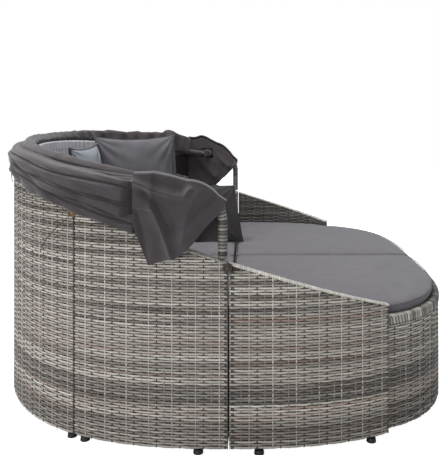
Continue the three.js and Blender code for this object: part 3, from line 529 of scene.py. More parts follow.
def strand_tint(light, brown, count, tone):
    """Mixes the three plastics. The shade drifts along a strand and jumps where a new one starts."""
    drift = STRAND_DRIFT * np.sin(np.linspace(0, rng.uniform(2, 9), count) + rng.uniform(0, 6))
    joins = np.sort(rng.integers(0, count, max(count // JOIN_STEPS, 1)))
    strand = np.searchsorted(joins, np.arange(count))
    jump = rng.normal(0, JOIN_SPREAD, len(joins) + 1)[strand]
    light = np.clip(light + drift + jump, 0, 1)[:, None]
    share = np.clip(brown * rng.uniform(0.3, 1.2, len(joins) + 1)[strand], 0, 1)[:, None] * 0.7
    colour = DARK_STRAND * (1 - light) + LIGHT_STRAND * light
    # The tone scales the whole colour; on the inner faces of the walls it is below one, painted shade.
    return tone * (colour * (1 - share) + BROWN_STRAND * share)


def swing(places, row):
    """Plus one in front of two stakes, minus one behind the third, the other way in odd rows."""
    stake = (places / STEPS_PER_STAKE) % REPEAT
    away = np.clip(np.minimum(stake, REPEAT - stake), 0, 1)
    return (-1) ** (row + 1) * np.cos(np.pi * away)


def walk(shape, limits, inset):
    """Points along an outline between its limits, a step of the weave apart, and the way outwards."""
    path = evenly(outline(shape, np.linspace(*limits(inset), 3000), inset), STAKE_STEP / STEPS_PER_STAKE)
    return path, outward(path)


def weave(path, face, low, top, tone):
    """Rows and stakes on a line of points, with the outward direction of the face at each point."""
    tubes, tints = [], []
    ring = np.array([[-STRAND_CROWN / 2, -STRAND_HALF_WIDTH], [STRAND_CROWN, 0.0],
                     [-STRAND_CROWN / 2, STRAND_HALF_WIDTH]])
    for row, height in enumerate(np.arange(low + ROW_STEP / 2, top.max(), ROW_STEP)):
        inside = np.flatnonzero(top > height)
        if len(inside) < 2 * STEPS_PER_STAKE:
            continue
        run = slice(inside[0], inside[-1] + 1)
        out = WEAVE_SWING * swing(np.arange(len(path))[run], row)[:, None] + ring[:, 0]
        flat = path[run, None] + face[run, None] * out[..., None]
        tubes.append(at_height(flat, height + ring[:, 1]))
        tints.append(np.repeat(strand_tint(*row_shade(height), len(out), tone), len(ring), axis=0))
    for number, place in enumerate(range(0, len(path), STEPS_PER_STAKE)):
        if top[place] < low + 2 * ROW_STEP:
            continue
        along = np.array([-face[place, 1], face[place, 0]])
        flat = path[place] + face[place] * STAKE_RING[:, :1] + along * STAKE_RING[:, 1:]
        tubes.append(np.array([at_height(flat, height) for height in (low, top[place])]))
        shade = STAKE_SHADES[number % REPEAT] * rng.uniform(0.7, 1.05)
        tints.append(np.tile(STAKE_TINT * tone * shade, (8, 1)))
    return tubes, tints


def add_weave(name, body, path, face, low, top, tone=1.0):
    """Keeps each mesh light: a large face comes as two pieces, lower and upper."""
    tubes, tints = weave(path, face, low, top, tone)
    done = np.cumsum([len(tint) for tint in tints])
    parts = done[-1] // PIECE_POINTS + 1
    for part in range(parts):
        chosen = np.flatnonzero(done * parts // (done[-1] + 1) == part)
        piece = add_tubes(f"{name}_{part}", [tubes[i] for i in chosen], woven_strand,
                          tint=np.concatenate([tints[i] for i in chosen]))
        dress(piece, body, "rattan")
    print(name, len(tubes), "strands and stakes in", parts)


# %% [markdown]
# ## Walls
# A wall is a hollow panel 36 mm thick. A core in a dark colour fills it behind the weave, painted
# shade of the hollow seen through the gaps. Both faces are woven, and strand is wound round the rim
# and the upright ends. The winding is a tube whose outline swells and shrinks once for each turn.

# %% Wall parts
WRAP_STEP = 0.0072
STEPS_PER_WRAP = 6
CORE_INSET = 0.0028
RIM_EDGE = 0.008
RIM_DROP = 0.005
END_INSET = 0.003
POST_HALF = 0.0022
# Tone of the wound posts at the seams, nearly black: painted shade of the gap between the sections
SEAM_PAINTED_SHADE = 0.06


def wound(path, ring, up, tone, swell=0.0011, slant=0.0, spread=0.09, step=WRAP_STEP, groove=0.35):
    """Tube with one swelling per turn of strand; a slant shifts the swelling round the ring. The tint
    loses the share groove between two turns, where the strand lies in its own shade."""
    path = evenly(path, step / STEPS_PER_WRAP)
    turn = np.arange(len(path)) * np.pi / STEPS_PER_WRAP
    ring = np.asarray(ring)
    middle = ring.mean(axis=0)
    reach = np.linalg.norm(ring - middle, axis=1).mean()
    around = np.arange(len(ring)) / len(ring) * slant
    wave = np.abs(np.sin(turn[:, None] + around))
    grow = 1 + swell / reach * wave
    rings = middle + (ring - middle) * grow[..., None]
    wraps = (turn / np.pi).astype(int)
    shades = np.clip(rng.normal(tone, spread * tone / 0.7, wraps.max() + 1), 0.02, 1.3)[wraps]
    shades = shades[:, None] * (1 - groove * (1 - wave) ** 0.7)
    return sweep(path, rings, up), shades.reshape(-1, 1) * LIGHT_STRAND


def add_wound(name, body, path, ring, up, tone, *nodes, **options):
    """Makes a wound tube into a piece."""
    sections, tint = wound(path, ring, up, tone, **options)
    return dress(add_tube(name, sections, wrapped_strand, tint=tint), body, "rattan", *nodes)


def swept_panel(shape, limits, profile, count=160):
    """Sections of a body that follows the plan: insets and heights, between angles for each inset."""
    columns = []
    for depth, height in profile:
        flat = outline(shape, np.linspace(*limits(depth), count), depth)
        columns.append(at_height(flat, height(flat[:, 0]) if callable(height) else height))
    return np.stack(columns, axis=1)


def woven_wall(name, body, limits, thickness, tone, end_tones, shaded_face_tones):
    """A whole panel between two angles: core, both woven faces, the rim's winding and its ends."""
    edge, far_edge = CORE_INSET, thickness - CORE_INSET
    below = lambda drop: lambda x: rim_height(x) - drop
    core = swept_panel(WALLS, limits, [
        (edge, WALL_BOTTOM), (edge, below(RIM_EDGE)), (RIM_EDGE, below(edge)),
        (thickness - RIM_EDGE, below(edge)), (far_edge, below(RIM_EDGE)), (far_edge, WALL_BOTTOM)])
    dress(add_tube(f"{name}_core", core, painted_shade_core), body, "rattan", f"{name}_weave")
    for side, inset, way, low, shade in (("outer", 0.0, 1, WALL_BOTTOM, shaded_face_tones[0]),
                                         ("inner", thickness, -1, DECK_TOP, shaded_face_tones[1])):
        path, out = walk(WALLS, limits, inset)
        add_weave(f"{name}_{side}_face", body, path, way * out, low, rim_height(path[:, 0]) - RIM_DROP, shade)
    half = thickness / 2
    over = [(-half, -RIM_DROP), (-half, -0.002), (0.004 - half, 0.0005), (0, 0.001), (half - 0.004, 0.0005),
            (half, -0.002), (half, -RIM_DROP), (0, -RIM_DROP)]
    flat = outline(WALLS, np.linspace(*limits(half), 160), half)
    add_wound(f"{name}_rim", body, at_height(flat, rim_height(flat[:, 0])), over, (0, 0, 1), tone)
    across = [(-half, -POST_HALF), (half, -POST_HALF), (half, POST_HALF), (-half, POST_HALF)]
    for end, inward in ((0, 1), (1, -1)):
        at, outer = (outline(WALLS, np.array([limits(depth)[end] + inward * END_INSET]), depth)[0]
                     for depth in (half, 0.0))
        post = np.array([[*at, WALL_BOTTOM], [*at, rim_height(at[0]) - RIM_DROP]])
        out = unit(outer - at)
        add_wound(f"{name}_end_{end}", body, post, across, (-out[1], out[0], 0), end_tones[end], swell=0.0006)


# %% Sofa walls and wings
def fixed(start, end):
    """Limits that are the same at every inset."""
    return lambda inset: (start, end)


def wing_limits(sign):
    """A wing is cut square at its front end, so its last angle depends on the inset."""
    ends = np.array([SECTION_GAP / 2, WING_END_X - 0.001])
    return lambda inset: sorted(sign * angle_at(WALLS, ends, inset))


ANGLE_GAP = 0.003
BOTH_SEAMS = (SEAM_PAINTED_SHADE, SEAM_PAINTED_SHADE)
# Ends at the seams take the painted seam shade. The inner faces are darker than the outer ones: painted shade
# where the walls keep the light off, darkest inside the wings.
woven_wall("back", "sofa_section", fixed(-SEAM_ANGLE + ANGLE_GAP, SEAM_ANGLE - ANGLE_GAP),
           WALL_THICKNESS, 0.62, BOTH_SEAMS, (1.0, 0.8))
for side, sign in SIDES.items():
    ends = sorted((sign * (SEAM_ANGLE + ANGLE_GAP), sign * SOFA_END_ANGLE))
    woven_wall(f"{side}_side", "sofa_section", fixed(*ends), WALL_THICKNESS, 0.62, BOTH_SEAMS, (1.0, 0.7))
    woven_wall(f"{side}_wing", "front_section", wing_limits(sign), WING_THICKNESS, 1.0,
               (SEAM_PAINTED_SHADE, 0.9)[::sign], (1.0, 0.24))

# %% [markdown]
# ## The front skirt, its rim and the closing panels
# The round end is lower than the wings and carries a thick wound rim. Flat woven panels close the
# two sections where they meet.

# %% Front skirt and rim
SKIRT_INSET = 0.003
SKIRT_SKIN = 0.005
RIM_HALF_WIDTH = 0.013
RIM_HALF_HEIGHT = 0.0138
FRONT_RIM_TOP = FRONT_RIM[1].z
SKIRT_TOP = FRONT_RIM[0].z - 0.0003


def front_limits(inset):
    """From the wing's end on one side, round the foot end, to the other side."""
    start = float(angle_at(FRONT, WING_END_X + 0.0015, inset))
    return start, 2 * np.pi - start


inner_skin = SKIRT_INSET + SKIRT_SKIN
skirt = swept_panel(FRONT, front_limits, [
    (SKIRT_INSET + CORE_INSET, WALL_BOTTOM), (SKIRT_INSET + CORE_INSET, SKIRT_TOP),
    (inner_skin, SKIRT_TOP), (inner_skin, WALL_BOTTOM)])
dress(add_tube("front_skirt_core", skirt, painted_shade_core), "front_section", "rattan", "front_skirt_weave")
path, out = walk(FRONT, front_limits, SKIRT_INSET)
add_weave("front_skirt_face", "front_section", path, out, WALL_BOTTOM, np.full(len(path), SKIRT_TOP), 0.92)

corner = circle(16)
rounded = np.sign(corner) * np.abs(corner) ** 0.5 * (RIM_HALF_WIDTH - 0.001, RIM_HALF_HEIGHT - 0.001)
flat = outline(FRONT, np.linspace(*front_limits(RIM_HALF_WIDTH), 400), RIM_HALF_WIDTH)
add_wound("front_rim_braid", "front_section", at_height(flat, FRONT_RIM_TOP - RIM_HALF_HEIGHT), rounded,
          (0, 0, 1), 0.42, "front_rim", swell=0.0034, slant=2 * np.pi, spread=0.5, step=0.0125, groove=0.85)

# %% Closing panels
for name, body, way in (("sofa_closing_panel", "sofa_section", 1),
                        ("front_closing_panel", "front_section", -1)):
    low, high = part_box(name)
    low.z = WALL_BOTTOM
    face_x = (high.x if way > 0 else low.x) - way * (WEAVE_SWING + STRAND_CROWN)
    back_x, front_x = sorted((face_x - way * 0.003, low.x if way > 0 else high.x))
    ring = np.array([(back_x, low.z), (front_x, low.z), (front_x, high.z), (back_x, high.z)])
    block = np.array([[(x, y, z) for x, z in ring] for y in (low.y, high.y)])
    dress(add_tube(f"{name}_core", block, painted_shade_core), body, "rattan", name)
    path = evenly(np.array([(face_x, low.y), (face_x, high.y)]), STAKE_STEP / STEPS_PER_STAKE)
    add_weave(f"{name}_face", body, path, np.tile([way, 0.0], (len(path), 1)),
              low.z, np.full(len(path), high.z))

# %% [markdown]
# ## Arm loops
# A round tube rises from the front end of each side wall, runs level and drops to the rim. Flat
# strand is wound round it, so its outline has a ridge for every turn.

# %% Arm loops
LOOP_RADIUS = 0.014
LOOP_WRAP = 0.0107
LOOP_TOP = 0.825
LOOP_FRONT, LOOP_FRONT_BEND = -0.018, 0.110
LOOP_BACK, LOOP_BACK_BEND = -0.430, 0.090


def loop_line(sign):
    """Upright, quarter circle, level run, quarter circle, upright, in the surface of the wall."""
    turn = np.linspace(0, np.pi / 2, 14)
    x = np.concatenate([[LOOP_FRONT], LOOP_FRONT - LOOP_FRONT_BEND * (1 - np.cos(turn)),
                        LOOP_BACK + LOOP_BACK_BEND * (1 - np.sin(turn)), [LOOP_BACK]])
    ends = rim_height(PLAN_X + np.array([LOOP_FRONT - LOOP_RADIUS, LOOP_BACK - LOOP_RADIUS])) + 0.001
    z = np.concatenate([ends[:1], LOOP_TOP - LOOP_FRONT_BEND * (1 - np.sin(turn)),
                        LOOP_TOP - LOOP_BACK_BEND * (1 - np.cos(turn)), ends[1:]])
    return np.column_stack([PLAN_X + x, sign * half_width(WALLS, x, WALL_THICKNESS / 2), z])


for side, sign in SIDES.items():
    add_wound(f"{side}_wound_loop", "sofa_section", loop_line(sign), circle(14, LOOP_RADIUS - 0.001),
              (0, 1, 0), 0.34, f"{side}_arm_loop", swell=0.0024, spread=0.25, step=LOOP_WRAP, groove=0.85)

# %% [markdown]
# ## Cushions
# Each half of the seat is a crowned closed form. Its outline follows the walls, its sides pull in
# a little at mid height, and its top rises towards the middle. The cloth is then inflated by a
# short simulation, which gives the skin its slack, and piping is laid round the edges.

# %% Cushion outlines
CUSHION_HEIGHT = 0.050
CUSHION_CROWN = 0.006
CUSHION_GAP = 0.003
CUSHION_SPLIT = 0.0015
CUSHION_ROUND = 0.014
EDGE_ROUND = 0.015
INNER_EDGE = 0.03
FOOT_BULGE = 0.013
WAIST = 0.002
FRONT_CUSHION_INSET = 0.028
STEP_START, STEP_END = 0.440, 0.508
BASE = DECK_TOP + 0.0003


def closed_line(points, step):
    """An even closed outline whose corners are rounded by averaging each point with its neighbours."""
    line = evenly(np.vstack([points, points[:1]]), step)[:-1]
    for _ in range(int(CUSHION_ROUND / step) + 1):
        line = (np.roll(line, 1, axis=0) + 2 * line + np.roll(line, -1, axis=0)) / 4
    return line


def seat_outline():
    """Inside of the sofa's walls on the +Y side."""
    inset = WALL_THICKNESS + CUSHION_GAP
    return outline(WALLS, np.linspace(0.002, angle_at(WALLS, -CUSHION_GAP, inset), 200), inset)


def front_outline():
    """Along the wing, over to the front curve by a smooth step, and round to the tip."""
    x = np.linspace(CUSHION_GAP, STEP_END, 120)
    ease = smooth(ramp(x, STEP_START, STEP_END))
    wide = half_width(WALLS, x, WING_THICKNESS + CUSHION_GAP)
    narrow = half_width(FRONT, x, FRONT_CUSHION_INSET)
    side = np.column_stack([PLAN_X + x, wide * (1 - ease) + narrow * ease])
    angles = np.linspace(angle_at(FRONT, STEP_END, FRONT_CUSHION_INSET), np.pi, 160)[1:]
    return np.vstack([side, outline(FRONT, angles, FRONT_CUSHION_INSET)])


def closer_at_ends(count):
    """Numbers from -1 to 1, closer together at both ends, as the sine of an even turn."""
    return np.sin(np.linspace(-np.pi / 2, np.pi / 2, count))


def inward_normals(line):
    """Direction across a closed line at each point, towards its middle."""
    forward = np.roll(line, -1, axis=0) - np.roll(line, 1, axis=0)
    normal = unit(np.column_stack([-forward[:, 1], forward[:, 0]]))
    return normal * np.sign((normal * (line.mean(axis=0) - line)).sum(axis=1).mean())


def side_height(level):
    """Height of a level from -1 to 1 on a cushion's side."""
    return BASE + CUSHION_HEIGHT * (level + 1) / 2


def side_inset(line, level):
    """How far a side draws in at a level from -1 to 1: a little at mid height, and a power of the level
    at the edges, which are crisper where two cushions meet. Round the foot end the side bulges out
    as soon as it is above the rim."""
    across, ahead = np.abs(line[:, 1]), line[:, 0] - PLAN_X
    soft = np.clip(np.minimum(across, np.abs(ahead)) / INNER_EDGE, 0.2, 1)
    above_rim = ramp(side_height(level) - FRONT_RIM[1].z, 0.001, 0.007)
    foot_end = ramp(ahead, STEP_END, STEP_END + INNER_EDGE) * ramp(across, 0, 0.1)
    drawn_in = EDGE_ROUND * soft * abs(level) ** 3.4 + WAIST * (1 - level ** 2)
    return (drawn_in - FOOT_BULGE * above_rim * foot_end)[:, None]


def side_ring(line, level):
    """Ring round the side of a cushion at a level."""
    return at_height(line + inward_normals(line) * side_inset(line, level), side_height(level))


def cushion_rings(line):
    """Rings from the underside, up the side and over the crown to the middle."""
    middle, edge = line.mean(axis=0), side_ring(line, 1.0)[:, :2]
    shrunk = lambda share, height: at_height(middle + (edge - middle) * share, height)
    under = [shrunk(share, BASE) for share in (0.1, 0.5, 0.85)]
    crown = [shrunk(share, BASE + CUSHION_HEIGHT + CUSHION_CROWN * (1 - share ** 3))
             for share in (0.96, 0.9, 0.8, 0.65, 0.45, 0.25, 0.08, 0.004)]
    return np.array([*under, *(side_ring(line, level) for level in closer_at_ends(17)), *crown])


# %% Cloth simulation
FRAMES = 20


def relaxed(piece, pressure, cap, voxel=None, free=1.0):
    """Inflates the cloth for 20 frames, limits how far a point may move, and smooths once. With a voxel
    the piece is remeshed before; free is the share of its move that each point keeps."""
    scene = bpy.context.scene
    with bpy.context.temp_override(object=piece, active_object=piece, selected_objects=[piece]):
        if voxel:
            remesh = piece.modifiers.new("remesh", "REMESH")
            remesh.mode, remesh.voxel_size, remesh.use_smooth_shade = "VOXEL", voxel, True
            bpy.ops.object.modifier_apply(modifier=remesh.name)
        before = vertex_array(piece.data)
        cloth = piece.modifiers.new("cloth", "CLOTH")
        cloth.settings.use_pressure = True
        cloth.settings.uniform_pressure_force = pressure
        cloth.settings.effector_weights.gravity = 0
        cloth.settings.quality = 3
        cloth.point_cache.frame_end = FRAMES
        for frame_number in range(1, FRAMES + 1):
            scene.frame_set(frame_number)
        moved = vertex_array(piece.evaluated_get(bpy.context.evaluated_depsgraph_get()).data) - before
        piece.modifiers.remove(cloth)
        scene.frame_set(1)
        moved = moved * np.reshape(free, (-1, 1))
        length = np.linalg.norm(moved, axis=1, keepdims=True)
        points = before + moved * np.minimum(1, cap / np.maximum(length, 1e-9))
        piece.data.vertices.foreach_set("co", points.astype(np.float32).ravel())
        finer = piece.modifiers.new("finer", "SUBSURF")
        finer.levels = 1
        bpy.ops.object.modifier_apply(modifier=finer.name)
    piece.data.polygons.foreach_set("use_smooth", np.ones(len(piece.data.polygons), dtype=bool))
    return piece


def vertex_array(mesh):
    """Places of the mesh's points, as rows of three."""
    points = np.empty(len(mesh.vertices) * 3, dtype=np.float32)
    mesh.vertices.foreach_get("co", points)
    return points.reshape(-1, 3).astype(float)


# %% Seat and front cushions
PIPING = 0.0016
PIPING_LEVELS = {"top": 0.86, "base": -0.86}
# Pressure of the simulation, the farthest that it may move a point, and the size of a mesh cell
CUSHION_PRESSURE, CUSHION_GROWTH, CUSHION_VOXEL = 2.0, 0.003, 0.010


def piping(name, line, radius, material, body, slot, up=(0, 0, 1), corners=6):
    """Round cord sewn into a seam that runs round the piece and meets itself."""
    loop = np.vstack([line, line[:2]])
    dress(add_tube(name, sweep(loop, circle(corners, radius), up), material), body, slot)


for kind, half, body, way in (("seat", seat_outline(), "sofa_section", -1),
                              ("front", front_outline(), "front_section", 1)):
    half = np.vstack([half, [(PLAN_X + way * CUSHION_GAP, 0)]])
    half[:, 1] = np.maximum(half[:, 1], CUSHION_SPLIT)
    for side, sign in SIDES.items():
        line = closed_line(half * (1, sign), 0.009)
        name = f"{side}_{kind}_cushion"
        cushion = relaxed(add_tube(f"{name}_cover", cushion_rings(line), cushion_cloth),
                          CUSHION_PRESSURE, CUSHION_GROWTH, CUSHION_VOXEL)
        dress(cushion, body, "cushion_cloth", name)
        for seam, level in PIPING_LEVELS.items():
            piping(f"{name}_{seam}_piping", side_ring(line, level), PIPING, piping_cloth,
                   body, "cushion_cloth")

# %% [markdown]
# ## Pillows
# A pillow is two puffed faces that meet at a seam. The puff is one minus a high power of the
# distance across, so it stays full in the middle and thins towards the seam, and the sides draw
# in between pointed corners.

# %% Pillows
PILLOW_STEPS = 56
SEAM_STEPS = 24
EAR_CREASES = 11
EAR_CREASE, SAG = 0.20, 0.11
PILLOW_FILL, FLAT_PILLOW_FILL = 0.6, 0.3
PILLOW_PRESSURE, PILLOW_GROWTH = 3.0, 0.008
# Width, height, thickness, share that the sides draw in and how far the front edge slants out at its
# foot; then turn, lean, place ahead of the back wall's tip and place across; then fill, cloth, slot,
# and the cord of the seam with its radius
PILLOWS = {
    "large_dark_pillow": ((0.455, 0.515, 0.130, 0.13, 0), (38, 6), (0.405, 0.3717),
                          PILLOW_FILL, pillow_cloth, "cushion_cloth", piping_cloth, 0.003),
    "light_pillow": ((0.415, 0.482, 0.110, 0.12, 0), (88, 4), (0.230, 0.0597),
                     PILLOW_FILL, light_cloth, "light_cloth", dark_cloth, 0.0065),
    "small_light_pillow": ((0.380, 0.415, 0.100, 0.08, 0), (122, 8), (0.295, -0.378),
                           PILLOW_FILL, light_cloth, "light_cloth", light_cloth, 0.003),
    "flat_dark_pillow": ((0.300, 0.272, 0.046, 0.02, 0.044), (4, 5), (0.733, 0.2547),
                         FLAT_PILLOW_FILL, dark_cloth, "dark_cloth", dark_cloth, 0.003),
}


def pillow_face(u, v, width, height, thickness, draw, slant):
    """Across, puff and height of a point of the front face. Creases fan out from each corner."""
    puff = np.clip((1 - np.abs(u) ** 2.6) * (1 - np.abs(v) ** 2.6), 0, 1) ** 0.55
    from_corner = np.hypot(1 - np.abs(u), 1 - np.abs(v))
    fan_turn = np.arctan2(1 - np.abs(v), 1 - np.abs(u) + 1e-6) + 0.4 * u - 0.3 * v
    crease = 1 + EAR_CREASE * np.sin(EAR_CREASES * fan_turn) * np.exp(-(from_corner / 0.55) ** 2)
    sag = 1 + SAG * np.sin(5 * u + 3.5 * v + 1) * np.sin(4 * v - 2.5 * u)
    out = slant * (1 + u) * (1 - v) / 4
    return np.stack([u * width / 2 * (1 - draw * (1 - v * v)) + out, puff * crease * sag * thickness / 2,
                     height / 2 + v * height / 2 * (1 - 0.6 * draw * (1 - u * u))], axis=-1)


def leaned(points, turn, lean):
    """Leans the standing pillow back, then turns it about the upright axis."""
    a, b = np.radians(-lean), np.radians(turn)
    lean_it = np.array([(1, 0, 0), (0, np.cos(a), -np.sin(a)), (0, np.sin(a), np.cos(a))])
    turn_it = np.array([(np.cos(b), -np.sin(b), 0), (np.sin(b), np.cos(b), 0), (0, 0, 1)])
    return points @ (turn_it @ lean_it).T


def both_faces(front, back):
    """Rows across the front face and back over the other, which share the points of the seam."""
    return np.concatenate([front, back[:, ::-1][:, 1:-1]], axis=1)


u, v = np.meshgrid(*[closer_at_ends(PILLOW_STEPS)] * 2, indexing="ij")
inside = (1 - np.abs(u) ** 8) * (1 - np.abs(v) ** 8)
t = closer_at_ends(SEAM_STEPS)[:-1]
one = np.ones(len(t))
seam_u, seam_v = np.concatenate([t, one, -t, -one]), np.concatenate([-one, t, one, -t])
for name, (sizes, turns, (ahead, across), fill, cloth, slot, cord, cord_radius) in PILLOWS.items():
    front = pillow_face(u, v, *sizes)
    place = np.array([PLAN_X + ahead - WALLS[0], across, 0.0])
    rows = leaned(both_faces(front, front * (1, -1, 1)), *turns) + place
    lift = np.array([0, 0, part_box(name)[0].z - rows[..., 2].min()])
    pillow = relaxed(add_tube(f"{name}_cover", rows + lift, cloth), PILLOW_PRESSURE, PILLOW_GROWTH,
                     free=both_faces(inside, inside))
    dress(pillow, "sofa_section", slot, name)
    width, height, _, draw, slant = sizes
    seam = leaned(pillow_face(seam_u, seam_v, width, height, 0.0, draw, slant), *turns) + place + lift
    facing = leaned(np.array([[0.0, 1.0, 0.0]]), *turns)[0]
    piping(f"{name}_piping", seam, cord_radius, cord, "sofa_section", slot, facing, 8)

# %% [markdown]
# ## Canopy
# Three bows turn on one bolt at each side. Folded back, their cloth lies in three rolls on the
# rim, and the front bow carries a full sleeve. Thin panels of cloth lie folded in a slab between
# the bows.

# %% Bow sizes
PIVOT = np.array([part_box("left_pivot_bolt")[i].x for i in (0, 1)]).mean()
PIVOT_Z = 0.822
BOW_POWER = 2.25
BOW_RADIUS = 0.010
BOW_TAIL = 0.014
BOLT_SPACING = 0.028
TIPS = {"rear": (0.0242, 0.0184), "middle": (0.0311, 0.0486), "front": (0.045, 0.0796)}
REAR_HALF_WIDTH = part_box("rear_bow")[1].y - BOW_RADIUS
BOWS = {}
for place, (name, (from_back, above_rim)) in enumerate(TIPS.items()):
    run = WALLS[0] - from_back + PIVOT - PLAN_X
    tilt = np.arctan((rim_height(PIVOT - run) + above_rim - PIVOT_Z) / run)
    BOWS[name] = (run / np.cos(tilt), REAR_HALF_WIDTH - place * BOLT_SPACING, tilt)
print({name: [round(float(value), 4) for value in bow] for name, bow in BOWS.items()})


def bow_reach(turn, reach, half):
    """Distance from the pivot axis and place across, for turns from +90 to -90 degrees."""
    power = 2 / BOW_POWER
    across = np.sin(turn)
    return reach * np.maximum(np.cos(turn), 0) ** power, half * np.sign(across) * np.abs(across) ** power


def in_plane(away, across, tilt, off=0.0):
    """Point at a distance from the pivot axis in a plane with that tilt, and off it along its normal."""
    return np.stack(np.broadcast_arrays(PIVOT - away * np.cos(tilt) + off * np.sin(tilt), across,
                                        PIVOT_Z + away * np.sin(tilt) + off * np.cos(tilt)), axis=-1)


def plane_normal(tilt):
    """Direction square to a bow's plane, upwards."""
    return (float(np.sin(tilt)), 0.0, float(np.cos(tilt)))


# %% Bows and sleeve
TURNS = np.linspace(np.pi / 2, -np.pi / 2, 161)
POCKET_ENDS = 3
POCKET_CLOTH = 0.0015
for name, (reach, half, tilt) in BOWS.items():
    away, across = bow_reach(TURNS, reach, half)
    away = np.concatenate([[-BOW_TAIL], away, [-BOW_TAIL]])
    across = np.concatenate([[half], across, [-half]])
    line = evenly(in_plane(away, across, tilt), 0.012)
    tube = sweep(line, circle(12, BOW_RADIUS), plane_normal(tilt))
    pocket = sweep(line[POCKET_ENDS:-POCKET_ENDS], circle(12, BOW_RADIUS + POCKET_CLOTH), plane_normal(tilt))
    dress(add_tube(f"{name}_bow_tube", tube, bow_metal), f"{name}_bow", "bow_tube", f"{name}_bow")
    dress(add_tube(f"{name}_bow_pocket", pocket, canopy_cloth), f"{name}_bow", "canopy_cloth")


def wrinkles(place, size, lows=6, highs=46, across=None, count=7):
    """Sum of sine waves with drawn phases along a line, drifting where across changes."""
    total = 0
    for _ in range(count):
        drift = rng.uniform(-4, 4) * across if across is not None else 0
        strength = rng.uniform(0.4, 1)
        total = total + strength * np.sin(rng.uniform(lows, highs) * place + rng.uniform(0, 6.3) + drift)
    return size * total / np.sqrt(count)


# %% Sleeve of the front bow
SLEEVE_RADIUS, SLEEVE_END = 0.021, 0.0135
SLEEVE_SIDES = 26
SLEEVE_CREASE, CREASE_SUNK = 0.0034, 0.002
# How far the cloth stands outwards and up from the bow in the middle of the sleeve
SLEEVE_OUT, SLEEVE_UP = 0.010, 0.006
# How much deeper the creases are, and how far the cloth leans, where it is bunched
BUNCH_CREASE, BUNCH_LEAN = 2.2, 0.5
# How far the cloth is pushed up above the bow, from the far end of the sleeve round to the near end
BUNCH_PLACES = (0, 0.05, 0.13, 0.24, 0.34, 0.42, 0.50, 1)
BUNCH_HEIGHTS = (0.060, 0.078, 0.046, 0.030, 0.014, 0.004, 0, 0)

reach, half, tilt = BOWS["front"]
away, across = bow_reach(TURNS[6:-6], reach, half)
line = evenly(in_plane(away, across, tilt), 0.005)
share = np.linspace(0, 1, len(line))[:, None]
full = np.sin(np.pi * share) ** 0.6
around = np.arange(SLEEVE_SIDES) / SLEEVE_SIDES * 2 * np.pi
ring = circle(SLEEVE_SIDES)
bunch = np.interp(share, BUNCH_PLACES, BUNCH_HEIGHTS)
crumple = 1 + BUNCH_CREASE * bunch / max(BUNCH_HEIGHTS)
slant = 2.2 * np.sin(around) + 1.6 * np.cos(around)
crease = np.abs(wrinkles(share * 6, SLEEVE_CREASE, 2, 26, across=slant))
radius = SLEEVE_END + (SLEEVE_RADIUS - SLEEVE_END) * full + crumple * (crease - CREASE_SUNK) * full
above = np.maximum(ring[:, 1], 0) ** 0.7
peaks = 1 + 0.10 * wrinkles(share * 6, 1.0, 8, 26, count=5)
outwards = ring[:, 0] * radius * (1.15 - 0.35 * above) + SLEEVE_OUT * full
upwards = ring[:, 1] * radius + 0.002 + SLEEVE_UP * full + bunch * peaks * above
outwards = outwards + BUNCH_LEAN * bunch * above * wrinkles(share * 6, 1.0, 8, 30, count=5)
sections = sweep(line, np.stack([outwards, upwards], axis=-1), plane_normal(tilt))
sleeve = add_tube("front_bow_cloth_sleeve", sections, canopy_cloth)
dress(sleeve, "front_bow", "canopy_cloth", "front_bow_sleeve")

# %% Folded rolls and skirt
ROLL_END_X = PLAN_X - 0.290
ROLL_TUCK = -0.010
ROLL_PROUD = 0.020
ROLL_INNER = 0.016
ROLL_DIVE = 0.026
ROLL_DIVED = 0.014
FLANGE_START, FLANGE_FULL = 0.06, 0.21
LIP = 0.15
LIP_DROOP = 0.010
STACK = (0.0, 0.33, 0.56, 0.985)
# The dent that parts a roll in two: its place in the roll's height, its depth and its width
DENT_PLACE, DENT, DENT_WIDTH = 0.62, 0.70, 0.05
ROLL_FOLD, FOLD_SUNK = 0.0066, 0.004
SKIRT_STRETCH = 0.025
ROLL_ANGLES = np.linspace(-1, 1, 560) * float(angle_at(WALLS, ROLL_END_X - PLAN_X))
ROLL_PATH = outline(WALLS, ROLL_ANGLES)
SAGS = [0, *(wrinkles(ROLL_ANGLES, size, 3, 16) for size in (0.0018, 0.0030, 0.0024))]


def even_in_blend(count):
    """Places from 0 to 1 whose smooth step rises evenly."""
    t = np.linspace(0, 1, 400)
    return np.interp(np.linspace(0, 1, count), smooth(t), t)


def roll_height(level):
    """Height of a level of the stack between the rim and the front bow, with the cloth's sag."""
    x = ROLL_PATH[:, 0]
    low = rim_height(x) + 0.0003
    high = PIVOT_Z + np.tan(BOWS["front"][2]) * (PIVOT - x) - 0.003
    return low + (high - low) * STACK[level] + SAGS[level]


def depth_to_bow(path, normal, bow):
    """How far behind the outline the bow's outer side lies, by halving the interval 20 times. Outside
    the bow, the sum of the two powers of its superellipse is more than one."""
    reach, half, tilt = BOWS[bow]
    near, far = np.zeros(len(path)), np.full(len(path), 0.15)
    for _ in range(20):
        middle = (near + far) / 2
        x, y = (path - normal * middle[:, None]).T
        away = np.maximum(PIVOT - x, 0) / np.cos(tilt)
        parts = away / (reach + BOW_RADIUS), np.abs(y) / (half + BOW_RADIUS)
        outside = sum(part ** BOW_POWER for part in parts) > 1
        near, far = np.where(outside, middle, near), np.where(outside, far, middle)
    return near


